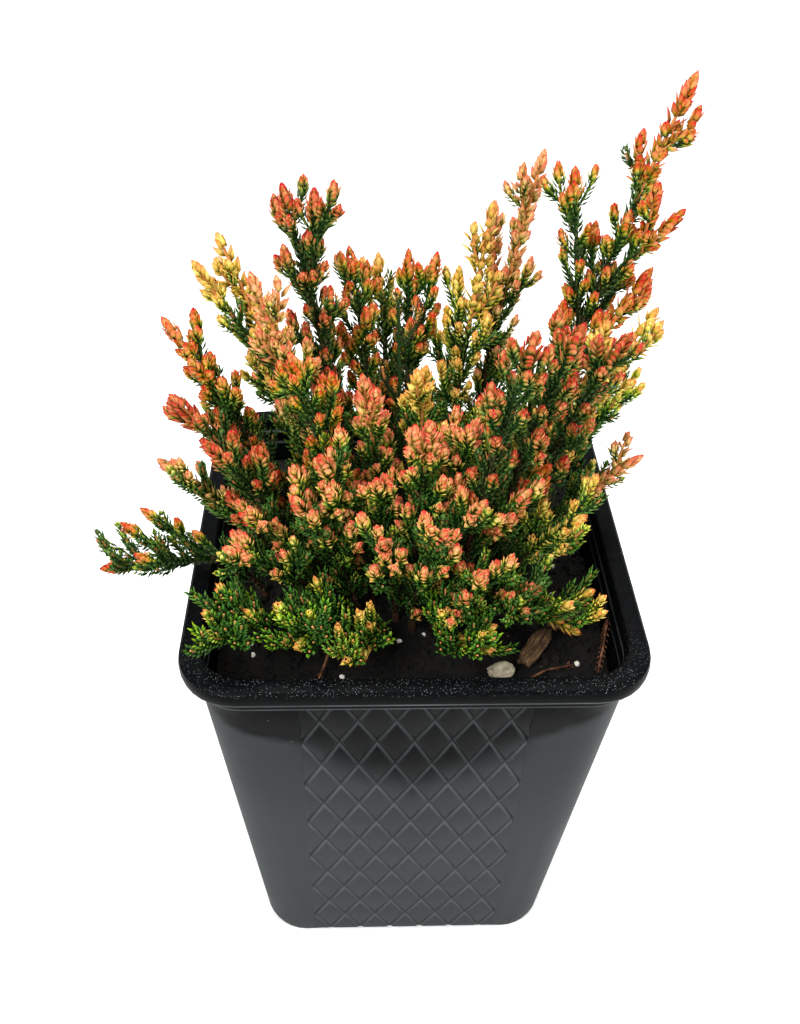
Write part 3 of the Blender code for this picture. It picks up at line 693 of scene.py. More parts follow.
def lay_out_stems():
    """The CAD's own rule, so that each stem lies along its node: the roots are pushed apart,
    each stem rises in a curve to its tip, and stems that come too close push apart."""
    names = [row[0] for row in STEMS]
    roots = [np.array([0.46 * row[1][0], 0.55 * row[1][1] + 1.0, SPRING_Z]) for row in STEMS]
    mains = [i for i, row in enumerate(STEMS) if len(row) == 4]
    pairs = [(i, j) for i in mains for j in mains if j > i]
    for _ in range(80):
        for i, j in pairs:
            apart = (roots[i] - roots[j])[:2]
            dist = float(np.linalg.norm(apart))
            if dist < ROOT_GAP:
                push = apart / max(dist, 0.01) * (ROOT_GAP - dist) * 0.5
                roots[i][:2] += push
                roots[j][:2] -= push
        for i in mains:
            reach = float(np.abs(roots[i][:2]).max())
            if reach > ROOT_REACH:
                roots[i][:2] *= ROOT_REACH / reach
    paths = []
    for i, row in enumerate(STEMS):
        tip = np.array(row[1], float)
        if len(row) == 5:
            parent = paths[names.index(row[0].split(".")[0])]
            start = along(parent, row[4] * measure(parent)[-1])
            knee = start + (tip - start) * 0.5 + np.array([0.0, 0.0, -3.0])
            paths.append(bezier(start, knee, tip, STEM_POINTS))
            continue
        root = roots[i]
        rise = tip[2] - root[2]
        lean = (tip - root)[:2]
        knee = np.array([root[0] + 0.30 * lean[0], root[1] + 0.30 * lean[1],
                         root[2] + max(0.62 * rise, 0.16 * float(np.linalg.norm(lean)) + 10)])
        paths.append(bezier(root, knee, tip, STEM_POINTS))
    owner = [row[0].split(".")[0] for row in STEMS]
    span = np.linspace(0.0, 1.0, STEM_POINTS)[:, None]
    whose = np.repeat([names.index(o) for o in owner], STEM_POINTS)
    others = whose[:, None] != whose[None, :]
    for _ in range(70):
        cloud = np.concatenate(paths)
        gap = cloud[:, None, :] - cloud[None, :, :]
        dist = np.linalg.norm(gap, axis=2) + 1e-6
        pull = np.where((dist < STEM_GAP) & others, (STEM_GAP - dist) * 0.28, 0.0)
        shift = (gap / dist[:, :, None] * pull[:, :, None]).sum(axis=1)
        for i in range(len(paths)):
            move = shift[i * STEM_POINTS:(i + 1) * STEM_POINTS]
            moved = paths[i] + move * np.minimum(span * 4.0, 1.0) * (1.15 - 0.55 * span)
            smooth = moved.copy()
            smooth[1:-1] = 0.5 * moved[1:-1] + 0.25 * (moved[:-2] + moved[2:])
            paths[i] = keep_off_pot(smooth)
            if len(STEMS[i]) == 5:
                parent = paths[names.index(owner[i])]
                step = along(parent, STEMS[i][4] * measure(parent)[-1]) - paths[i][0]
                paths[i] = paths[i] + step * (1 - span)
            else:
                paths[i][0] = roots[i]
    return paths, owner


def keep_off_pot(path):
    """A path lifted a little where it comes too near the rim or the soil."""
    path = path.copy()
    over = np.abs(path[:, :2]).max(axis=1)
    lift = (path[:, 2] < POT_HEIGHT + 3.4) & (over > 43.5)
    path[lift, 2] += np.minimum(0.8, POT_HEIGHT + 3.4 - path[lift, 2])
    near_soil = path[:, 2] < SOIL_Z + 4.6
    near_soil[:3] = False
    path[near_soil, 2] += 0.5
    return path


def is_clear(points, own, taken):
    """Whether a side shoot there is free of the soil, the rim and every other stem."""
    for p in points:
        reach = float(np.abs(p[:2]).max()) + SIDE_RADIUS
        if p[2] - SIDE_RADIUS < SOIL_Z + 2.0:
            return False
        if reach > 48.0 and p[2] - SIDE_RADIUS < POT_HEIGHT + 0.6:
            return False
    for name, cloud, size in taken:
        if name == own:
            continue
        dist = np.linalg.norm(points[:, None, :] - cloud[None, :, :], axis=2).min()
        if dist < SIDE_RADIUS + size + CLEAR:
            return False
    return True


def dense(path, step=2.0):
    return along(path, np.arange(0.0, float(measure(path)[-1]) + step, step))


def grow_sides(paths, owner):
    """The CAD's own rule for the longer side shoots."""
    rng = random.Random(41)
    taken = [(owner[i], dense(paths[i]), STEM_RADIUS) for i in range(len(paths))]
    sides = []
    for i, row in enumerate(STEMS):
        length = float(measure(paths[i])[-1])
        first = 0.34 if len(row) == 4 else 0.30
        turn = rng.uniform(0.0, 6.28)
        for k in range(row[3]):
            share = first + (0.90 - first) * (k + 0.5) / row[3]
            at = along(paths[i], share * length)
            axis = heading(paths[i], share * length)
            flat = 1.0 - abs(float(axis[2]))
            size = (23.0 - 13.0 * share) * rng.uniform(0.85, 1.15)
            turn += 2.4
            one, two = around(axis)
            for bend, cut in ((0, 1), (0.7, 1), (-0.7, 1), (1.4, 0.85), (-1.4, 0.85),
                              (2.4, 0.8), (3.14, 0.8), (0, 0.62), (0.9, 0.62),
                              (-0.9, 0.62), (2.2, 0.6), (-2.2, 0.6)):
                a = turn + bend
                out = unit(math.cos(a) * one + math.sin(a) * two
                           + np.array([0.0, 0.0, 1.1 * flat]))
                span = size * cut
                mid = at + unit(0.72 * axis + 0.72 * out) * span * 0.5
                end = mid + unit(0.80 * axis + 0.30 * out + np.array([0, 0, 0.35])) * span * 0.5
                path = bezier(at, mid, end, 8)
                if is_clear(path[2:], owner[i], taken):
                    taken.append((owner[i], dense(path[1:]), SIDE_RADIUS))
                    sides.append((owner[i], path, row[2]))
                    break
    return sides


# For each colour of shoot: how long its bud is and its coloured part, the bud's radius, how
# far its scale tips stand out, and its colours from the old leaves to the tip.
SHOOTS = {
    "ember": (8.2, 7.2, 1.80, 0.30,
              ("#0D2407", "#183C0E", "#35641A", "#8C9C30", "#D09A42", "#D8704A", "#CC4E3A")),
    "scarlet": (9.0, 8.2, 2.05, 0.26,
                ("#0D2407", "#183C0E", "#355E1C", "#7C8436", "#C07E46", "#CC624A", "#BC463A")),
    "coral": (9.0, 9.0, 1.80, 0.46,
              ("#112E0A", "#204815", "#406F21", "#A3AC40", "#E8B868", "#EC9070", "#E2624C")),
    "peach": (7.0, 18.0, 1.45, 0.50,
              ("#14320B", "#2A561A", "#5C832C", "#BCAE50", "#E2BE74", "#E99C72", "#E27C5E")),
    "gold": (5.4, 15.0, 1.5, 0.85,
             ("#14320B", "#2A561A", "#5F8A2C", "#B8BC44", "#E6D064", "#EDC268", "#EA9E60")),
    "lime": (4.4, 4.0, 1.4, 0.6,
             ("#112C0A", "#204C14", "#467624", "#8CB42F", "#C6CE4C", "#E2C660", "#E8965C")),
    "bare": (0.0, 0.0, 1.0, 0.2,
             ("#1E1810", "#241D12", "#2C2616", "#38301E", "#443623", "#4E3A2A", "#5A3C30")),
}
LONG_COLOUR = {"tall_right": 25, "tall_right.side": 13, "back_pale": 34, "back_pale.lean": 24,
               "back_yellow": 28, "left_gold": 28, "left_gold.edge": 12, "left_mid": 24,
               "right_gold": 24, "right_ember": 18, "left_edge": 12, "left_red": 13,
               "leaning_coral": 16, "right_low": 18, "front_coral": 13, "mid_gold": 14}


def foliage_material(kind, codes):
    """Waxy scale leaves. Old ones are dark green, and young ones run from yellow at the foot
    to coral at the tip, with a red edge where the shoot had the most light. Each leaf is darkened
    towards its foot as painted shade, less so on ripe bud scales."""
    flush = 0.45 if kind in ("ember", "scarlet") else 0.22
    mat, tree, shader = new_surface("heather_foliage_" + kind, 0.5, 0.16)
    ripe, tint, tipward, keel = (
        add(tree, "ShaderNodeAttribute", attribute_name=name).outputs["Fac"]
        for name in ("ripe", "tint", "tipward", "keel"))
    lean = add(tree, "ShaderNodeMath", (tipward, 0.75), **MINUS)
    lean = add(tree, "ShaderNodeMath", (lean, 0.62), **TIMES)
    strong = add(tree, "ShaderNodeMapRange", (ripe, 0.40, 0.68, 0.25, 1.0), **SMOOTH)
    lean = add(tree, "ShaderNodeMath", (lean, strong), **TIMES)
    shade = add(tree, "ShaderNodeMath", (ripe, lean), use_clamp=True, **PLUS)
    base = add(tree, "ShaderNodeValToRGB", (shade,),
               stops=list(zip((0.0, 0.2, 0.4, 0.53, 0.66, 0.82, 1.0), codes)))
    pale = add(tree, "ShaderNodeMapRange", (ripe, 0.2, 0.6, 0.22, 0.10), **SMOOTH)
    pale = add(tree, "ShaderNodeMath", (keel, pale), **TIMES)
    base = add(tree, "ShaderNodeMix", {0: pale, 6: base, 7: linear("#D5DE8E")}, **COLOUR)
    off_keel = add(tree, "ShaderNodeMath", (1.0, keel), **MINUS)
    edge = add(tree, "ShaderNodeMapRange", (ripe, 0.6, 1.0, 0.0, flush * 0.5), **SMOOTH)
    edge = add(tree, "ShaderNodeMath", (off_keel, edge), **TIMES)
    point = add(tree, "ShaderNodeMapRange", (tipward, 0.70, 1.0, 0.0, flush * 1.5), **SMOOTH)
    grown = add(tree, "ShaderNodeMapRange", (ripe, 0.6, 0.85, 0.0, 1.0), **SMOOTH)
    point = add(tree, "ShaderNodeMath", (point, grown), **TIMES)
    red = add(tree, "ShaderNodeMath", (edge, point), use_clamp=True, **PLUS)
    base = add(tree, "ShaderNodeMix", {0: red, 6: base, 7: linear("#A02620")}, **COLOUR)
    # Painted shade: darker towards the foot of each leaf, where the others cover it, and less so on
    # ripe bud scales.
    foot = add(tree, "ShaderNodeMapRange", (tipward, 0.0, 0.5, 0.42, 1.0), **SMOOTH)
    lit = add(tree, "ShaderNodeMapRange", (ripe, 0.5, 0.75, 0.0, 0.78), **SMOOTH)
    base_shade = add(tree, "ShaderNodeMath", (foot, lit), operation="MAXIMUM")
    bright = add(tree, "ShaderNodeMapRange", (tint, 0.0, 1.0, 0.76, 1.08), **SMOOTH)
    young = add(tree, "ShaderNodeMapRange", (ripe, 0.3, 0.6, 0.80, 1.0), **SMOOTH)
    bright = add(tree, "ShaderNodeMath", (bright, young), **TIMES)
    bright = add(tree, "ShaderNodeMath", (base_shade, bright), **TIMES)
    hue = add(tree, "ShaderNodeMapRange", (tint, 0.0, 1.0, 0.488, 0.512), **SMOOTH)
    full = add(tree, "ShaderNodeMapRange", (tint, 0.0, 1.0, 1.10, 1.0), **SMOOTH)
    base = add(tree, "ShaderNodeHueSaturation", {"Hue": hue, "Saturation": full,
                                                 "Value": bright, "Color": base})
    coords = add(tree, "ShaderNodeTexCoord").outputs["Object"]
    wax = add(tree, "ShaderNodeTexNoise", {"Vector": coords, "Scale": 1400.0, "Detail": 2.0,
                                           "Roughness": 0.55})
    wax = add(tree, "ShaderNodeMapRange", (wax, 0.3, 0.7, 0.4, 0.58), **SMOOTH)
    feed(shader, {"Base Color": base, "Roughness": wax})
    return mat


def wood_material():
    """Thin rough bark on old wood. Young wood is green, and orange under a coloured tip."""
    mat, tree, shader = new_surface("heather_wood", 0.75, 0.2)
    coords = add(tree, "ShaderNodeTexCoord").outputs["Object"]
    patch = add(tree, "ShaderNodeTexNoise", {"Vector": coords, "Scale": 600.0, "Detail": 3.0,
                                             "Roughness": 0.55})
    brown = add(tree, "ShaderNodeValToRGB", (patch,),
                stops=((0.3, "#1D110B"), (0.5, "#3A2418"), (0.75, "#6A4A34")))
    girth = add(tree, "ShaderNodeAttribute", attribute_name="girth").outputs["Fac"]
    old = add(tree, "ShaderNodeMapRange", (girth, 0.00042, 0.00075, 0.0, 1.0), **SMOOTH)
    base = add(tree, "ShaderNodeMix", {0: old, 6: linear("#1C3A10"), 7: brown}, **COLOUR)
    young = add(tree, "ShaderNodeAttribute", attribute_name="ripe").outputs["Fac"]
    young = add(tree, "ShaderNodeMapRange", (young, 0.3, 0.8, 0.0, 1.0), **SMOOTH)
    base = add(tree, "ShaderNodeMix", {0: young, 6: base, 7: linear("#CE8A4C")}, **COLOUR)
    bump = add(tree, "ShaderNodeBump", {"Height": patch, "Strength": 0.5,
                                        "Distance": 0.12 * MM})
    feed(shader, {"Base Color": base, "Normal": bump})
    return mat


def leaf_template(name, widths, heights, bends):
    """One keeled scale, 1 long and 1 wide: three edges from its base to its tip."""
    verts = [(0.0, 0.0, 0.0)]
    for (z, half), high, bend in zip(widths, heights, bends):
        verts += [(-half, bend - 0.12, z), (half, bend - 0.12, z), (0.0, bend + high, z)]
    verts.append((0.0, bends[-1], 1.0))
    faces = [(0, 2, 1), (0, 3, 2), (0, 1, 3)]
    for k in range(len(widths) - 1):
        low = 1 + 3 * k
        for a, b in ((0, 1), (1, 2), (2, 0)):
            faces.append((low + a, low + b, low + 3 + b, low + 3 + a))
    last = len(verts) - 4
    faces += [(last, last + 1, last + 3), (last + 1, last + 2, last + 3), (last + 2, last, last + 3)]
    mesh = bpy.data.meshes.new(name)
    mesh.from_pydata(verts, [], faces)
    tipward = mesh.attributes.new("tipward", "FLOAT", "POINT")
    keel = mesh.attributes.new("keel", "FLOAT", "POINT")
    for k, v in enumerate(verts):
        tipward.data[k].value = v[2]
        keel.data[k].value = 1.0 if 0 < k < len(verts) - 1 and k % 3 == 0 else 0.0
    shape = bmesh.new()
    shape.from_mesh(mesh)
    bmesh.ops.recalc_face_normals(shape, faces=shape.faces)
    bmesh.ops.triangulate(shape, faces=shape.faces)
    shape.to_mesh(mesh)
    shape.free()
    for poly in mesh.polygons:
        poly.use_smooth = True
    obj = bpy.data.objects.new(name, mesh)
    bpy.context.scene.collection.objects.link(obj)
    return obj


def spray_tree():
    """Sets a leaf or a bud scale on each point by its attributes, and skins the stems."""
    tree = bpy.data.node_groups.new("heather_spray", "GeometryNodeTree")
    face = tree.interface
    face.new_socket("Geometry", in_out="INPUT", socket_type="NodeSocketGeometry")
    for label, kind in (("Leaf", "NodeSocketObject"), ("Bud Scale", "NodeSocketObject"),
                        ("Foliage", "NodeSocketMaterial"), ("Wood", "NodeSocketMaterial")):
        face.new_socket(label, in_out="INPUT", socket_type=kind)
    face.new_socket("Stem Sides", in_out="INPUT", socket_type="NodeSocketInt").default_value = 6
    face.new_socket("Geometry", in_out="OUTPUT", socket_type="NodeSocketGeometry")
    given = add(tree, "NodeGroupInput").outputs
    held = {label: add(tree, "GeometryNodeInputNamedAttribute", {"Name": label}, data_type=kind)
            for label, kind in (("aim", "FLOAT_VECTOR"), ("outward", "FLOAT_VECTOR"),
                                ("size", "FLOAT_VECTOR"), ("kind", "INT"), ("girth", "FLOAT"))}
    turn = add(tree, "FunctionNodeAxesToRotation",
               (held["aim"], held["outward"]), primary_axis="Z", secondary_axis="Y")
    both = add(tree, "GeometryNodeJoinGeometry")
    for number, label in ((1, "Leaf"), (2, "Bud Scale")):
        which = add(tree, "FunctionNodeCompare", {2: held["kind"], 3: number},
                    data_type="INT", operation="EQUAL")
        model = add(tree, "GeometryNodeObjectInfo", {"Object": given[label]})
        feed(both, (add(tree, "GeometryNodeInstanceOnPoints",
                        {"Points": given["Geometry"], "Selection": which,
                         "Instance": model.outputs["Geometry"], "Rotation": turn,
                         "Scale": held["size"]}),))
    real = add(tree, "GeometryNodeRealizeInstances", (both,))
    curves = add(tree, "GeometryNodeMeshToCurve", (given["Geometry"],))
    ring = add(tree, "GeometryNodeCurvePrimitiveCircle",
               {"Resolution": given["Stem Sides"], "Radius": 1.0})
    tube = add(tree, "GeometryNodeCurveToMesh",
               {"Curve": curves, "Profile Curve": ring, "Scale": held["girth"],
                "Fill Caps": True})
    whole = add(tree, "GeometryNodeJoinGeometry")
    for shape, label in ((tube, "Wood"), (real, "Foliage")):
        feed(whole, (add(tree, "GeometryNodeSetMaterial",
                         {"Geometry": shape, "Material": given[label]}),))
    add(tree, "NodeGroupOutput", (whole,))
    return tree


class Spray:
    """What one stem carries: points that take a leaf or a bud scale, and wood to skin."""

    def __init__(self):
        self.rows = []
        self.wood = []

    def leaves(self, at, aim, outward, size, ripe, tint, kind):
        self.rows.append((at, aim, outward, size, ripe, tint, np.full(len(at), kind)))

    def to_mesh(self, name):
        columns = [np.concatenate(column) for column in zip(*self.rows)]
        at, aim, outward, size, ripe, tint, kind = columns
        count = len(at)
        verts = list(map(tuple, at * MM))
        edges = []
        girth = [0.0] * count
        young = []
        for path, thick, thin, coloured in self.wood:
            run = measure(path)
            young += list(np.interp(run[-1] - run, [coloured, coloured + 3.0], [1.0, 0.0]))
            first = len(verts)
            verts += list(map(tuple, path * MM))
            edges += [(first + k, first + k + 1) for k in range(len(path) - 1)]
            girth += list(np.linspace(thick, thin, len(path)) * MM)
        mesh = bpy.data.meshes.new(name)
        mesh.from_pydata(verts, edges, [])
        extra = len(verts) - count
        for label, data, width in (("aim", aim, 3), ("outward", outward, 3),
                                   ("size", size * MM, 3), ("ripe", ripe, 1), ("tint", tint, 1)):
            shape = (extra, 3) if width == 3 else (extra,)
            full = np.concatenate([data, young if label == "ripe" else np.zeros(shape)])
            kind_name = "FLOAT_VECTOR" if width == 3 else "FLOAT"
            layer = mesh.attributes.new(label, kind_name, "POINT")
            layer.data.foreach_set("vector" if width == 3 else "value",
                                   full.astype(np.float32).ravel())
        layer = mesh.attributes.new("kind", "INT", "POINT")
        layer.data.foreach_set("value", np.concatenate([kind, np.zeros(extra)]).astype(np.int32))
        layer = mesh.attributes.new("girth", "FLOAT", "POINT")
        layer.data.foreach_set("value", np.array(girth, np.float32))
        return mesh


dice = np.random.default_rng(17)


def frames(path, s):
    """Points along a path with their headings and two directions square to them."""
    axis = along(path, s + 0.8) - along(path, s - 0.8)
    axis /= np.linalg.norm(axis, axis=1)[:, None] + 1e-9
    chord = unit(path[-1] - path[0])
    ref = np.cross(chord, [0.31, 0.17, 0.93] if abs(chord[2]) < 0.9 else [0.95, 0.25, 0.1])
    one = np.cross(axis, ref)
    one /= np.linalg.norm(one, axis=1)[:, None] + 1e-9
    return along(path, s), axis, one, np.cross(axis, one)


def shortened(path, by):
    """A path that ends a little before its end, inside the bud."""
    return along(path, np.linspace(0.0, max(measure(path)[-1] - by, 0.5), len(path)))


def turned_up(path, rise, draw):
    """A side shoot that bends up towards the light near its tip."""
    t = np.linspace(0.0, 1.0, len(path)) ** 2
    flat = unit((path[-1] - path[0]) * np.array([1.0, 1.0, 0.01]))
    return path + t[:, None] * (np.array([0, 0, rise]) - draw * flat)


def bud_outline(d, length, radius, neck):
    """The radius of a bud at a distance from its tip: a dome, then a taper to the shoot."""
    fat = 0.48 * length
    dome = radius * np.clip(1 - ((fat - d) / fat) ** 2, 0.0, 1.0) ** 0.6
    taper = radius + (neck - radius) * np.clip((d - fat) / (length - fat), 0.0, 1.0) ** 1.2
    return np.where(d < fat, dome, taper)


def clothe(spray, path, kind, leafy_from=0.0, bud=1.0, coloured=None, peak=1.0, size=1.0,
           loose=0.0):
    """Scale leaves from leafy_from to the tip. They are needles on the green shoot, pointed
    bracts on the coloured part of a long shoot, and close into a bud at the tip. A bud of 1 is
    full grown, peak is the ripest colour, and a loose shoot holds its leaves wide."""
    length, colour, radius, proud = SHOOTS[kind][:4]
    length = max(length * bud, 0.01)
    radius = radius * (0.45 + 0.55 * min(bud, 1.2))
    colour = coloured or colour * bud
    end = float(measure(path)[-1])
    chain_from = max(length, colour - 1.0) if colour > length + 3.0 else length
    # Pairs of leaves, each turned about a quarter on from the last: dense in the bud and wide
    # apart on the bracts. d is the distance from the tip.
    stations = []
    turns = [dice.uniform(0, 6.28)]
    s = leafy_from
    while s < end - (0.5 if bud > 0.3 else 1.0) * size:
        stations.append(s)
        d = end - s
        step, twist = 0.72 + loose, math.pi / 2
        if d < length:
            step, twist = 0.60, 1.5
        elif d < chain_from:
            step = 1.5
        s += step * size * (0.9 + 0.2 * dice.random())
        turns.append(turns[-1] + twist)
    s = np.array(stations)
    if len(s) < 2:
        return
    d = end - s
    at, axis, one, two = frames(path, s)
    turn = np.array(turns[:len(s)]) + dice.normal(0, 0.12, len(s))
    in_bud = d < length
    chain = ~in_bud & (d < chain_from)
    share = np.clip(d / length, 0.0, 1.0)
    # A leaf's length and width, how far from the axis it starts and how far it leans out. In
    # the bud its tip comes to lie on the bud's outline, or a little proud of it.
    long = np.where(in_bud, np.minimum(2.1 + 1.2 * share, (d + 0.3) / 0.94),
                    np.where(chain, 3.5, 2.5)) * size
    long = long * dice.uniform(0.9, 1.12, len(s))
    wide = np.where(in_bud, np.minimum(1.85 - 0.30 * share, 0.8 + 0.5 * d),
                    np.where(chain, 1.95, 0.84)) * size
    foot = np.where(in_bud, np.maximum(0.12, 0.50 * bud_outline(d, length, radius, 0.9)),
                    np.where(chain, 0.5, 0.34))
    reach = bud_outline(np.maximum(d - 0.94 * long, 0.0), length, radius, 1.5)
    climb = (reach + proud * (0.1 + 1.1 * share ** 1.5) - foot) / long
    angle = np.where(in_bud, np.arcsin(np.clip(climb, -0.55, 0.7)),
                     np.where(chain, 0.62,
                              np.radians(24.0 + 10.0 * np.clip((d - length) / 14.0, 0.0, 1.0)
                                         + 30.0 * loose)))
    angle = angle + dice.normal(0, 0.06, len(s))
    # The colour fades with the distance from the tip, from coral through yellow to green.
    ripe = np.interp(d, [0, 0.6 * colour, colour, colour + 1.7, colour + 4.2, colour + 10,
                         colour + 25], [1.0, 0.90, 0.76, 0.54, 0.38, 0.22, 0.04])
    ripe = np.minimum(ripe, peak) + dice.normal(0, 0.025, len(s))
    thick = np.where(in_bud, 0.75, 0.8) * size
    sizes = np.stack([wide, thick, long], axis=1)
    for flip in (0.0, math.pi):
        a = turn + flip + dice.normal(0, 0.08, len(s))
        out = np.cos(a)[:, None] * one + np.sin(a)[:, None] * two
        aim = np.cos(angle)[:, None] * axis + np.sin(angle)[:, None] * out
        outward = np.cos(angle)[:, None] * out - np.sin(angle)[:, None] * axis
        base = at + out * foot[:, None]
        tint = dice.random(len(s))
        for number, mask in ((1, ~(in_bud | chain)), (2, in_bud | chain)):
            if mask.any():
                spray.leaves(base[mask], aim[mask], outward[mask], sizes[mask], ripe[mask],
                             tint[mask], number)


def tiers(spray, path, kind, coloured):
    """Pairs of short side buds up the coloured part of a long shoot."""
    end = float(measure(path)[-1])
    spots = np.arange(end - coloured * 0.95, end - 8.0, 5.0)
    spots = spots[spots > 2.0]
    if not len(spots):
        return
    at, axis, one, two = frames(path, spots)
    for k in range(len(spots)):
        ripe = float(np.interp(end - spots[k], [0, coloured], [1.0, 0.86]))
        for flip in (0.0, math.pi):
            a = k * math.pi / 2 + flip + dice.normal(0, 0.2)
            out = math.cos(a) * one[k] + math.sin(a) * two[k]
            span = dice.uniform(3.8, 5.2)
            tip = at[k] + span * unit(0.86 * axis[k] + 0.50 * out)
            twig = bezier(at[k], 0.5 * (at[k] + tip) + 0.25 * out, tip, 5)
            clothe(spray, twig, kind, 0.5, bud=0.56, coloured=span, peak=ripe, size=0.85)


def grow_sprigs(paths, owner, sides):
    """Short green shoots between the longer ones. Each is tried at several turns about its
    host, then shorter, and kept where it is clear of the soil, the rim and the others. Low
    ones at the front lean forward and branch once more, as a mat does."""
    rng = random.Random(5)
    names = [row[0] for row in STEMS]
    hosts = [(names.index(owner[i]), paths[i], STEMS[i][2], LONG_COLOUR.get(names[i], 0), 1)
             for i in range(len(paths))]
    hosts += [(names.index(side[0]), side[1], side[2], 0, 1) for side in sides]
    trails = [dense(host[1], 1.5) for host in hosts]
    used = sum(len(trail) for trail in trails)
    room = used + 30000
    cloud = np.full((room, 3), 1e6)
    whose = np.full(room, -1)
    cloud[:used] = np.concatenate(trails)
    whose[:used] = np.concatenate([np.full(len(trail), host[0])
                                   for trail, host in zip(trails, hosts)])
    sprigs = []
    rim_creeper = names.index("rim_creeper")
    for own, path, kind, coloured, order in hosts:
        if kind == "bare":
            continue
        length = float(measure(path)[-1])
        main = length > 24
        s = 4.0 if main else 2.5
        turn = rng.uniform(0, 6.28)
        while s < length - max(coloured, 8.5 if main else 6.5 if order == 1 else 3.0):
            at = along(path, s)
            axis = heading(path, s)
            flat = 1.0 - abs(float(axis[2]))
            one, two = around(axis)
            turn += 2.4
            for bend, cut in ((0, 1.0), (1.1, 1.0), (-1.1, 1.0), (2.2, 0.85), (-2.2, 0.85),
                              (0.4, 0.65), (3.1, 0.65), (1.6, 0.5), (-1.6, 0.5)):
                a = turn + bend
                low = at[2] < 135 and at[1] < -18
                out = unit(math.cos(a) * one + math.sin(a) * two
                           + np.array([0, -0.6 if low else 0, 0.25 + 0.8 * flat]))
                span = rng.uniform(7.0, 11.5) * cut * (1.0 if main or low else 0.75)
                mid = at + unit(0.60 * axis + 0.80 * out) * span * 0.5
                end = mid + unit(0.5 * axis + 0.22 * out + np.array([0, 0, 0.8])) * span * 0.55
                sprig = bezier(at, mid, end, 6)
                reach = float(np.abs(end[:2]).max())
                if end[2] < SOIL_Z + 2.5 or reach > 62.0 and own != rim_creeper:
                    continue
                if reach > 47.0 and float(sprig[:, 2].min()) < POT_HEIGHT + 1.8:
                    continue
                gap = np.linalg.norm(sprig[2:, None, :] - cloud[None, :used], axis=2)
                gap[:, whose[:used] == own] += 0.9
                if gap.min() < 1.95:
                    continue
                sprigs.append((own, sprig, kind))
                if low and order < 2 and sprig[-1][1] < -36:
                    hosts.append((own, sprig, kind, 0, order + 1))
                points = dense(sprig[1:], 1.5)
                cloud[used:used + len(points)] = points
                whose[used:used + len(points)] = own
                used += len(points)
                break
            s += rng.uniform(1.8, 2.8) * (1.0 if at[2] < 185 else 1.3)
    return sprigs


paths, owner = lay_out_stems()
sides = grow_sides(paths, owner)
sprigs = grow_sprigs(paths, owner, sides)
names = [row[0] for row in STEMS]
leaf = leaf_template("scale_leaf", ((0.42, 0.50),), (0.45,), (0.0,))
bud_scale = leaf_template("bud_scale", ((0.22, 0.48), (0.58, 0.38)), (0.30, 0.24), (0.06, 0.0))
spray_nodes = spray_tree()
sockets = {item.name: item.identifier for item in spray_nodes.interface.items_tree
           if item.in_out == "INPUT"}
wood = wood_material()
foliage = {kind: foliage_material(kind, row[4]) for kind, row in SHOOTS.items()}


def dressed(name, spray, leaves, stem):
    """The plain mesh of one stem, made by the node tree from its spray."""
    piece = bpy.data.objects.new(name, spray.to_mesh(name))
    bpy.context.scene.collection.objects.link(piece)
    dress = piece.modifiers.new("dress", "NODES")
    dress.node_group = spray_nodes
    for label, value in (("Leaf", leaf), ("Bud Scale", bud_scale), ("Foliage", leaves),
                         ("Wood", stem)):
        dress[sockets[label]] = value
    settle(piece)
    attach(piece, "root")
    return piece


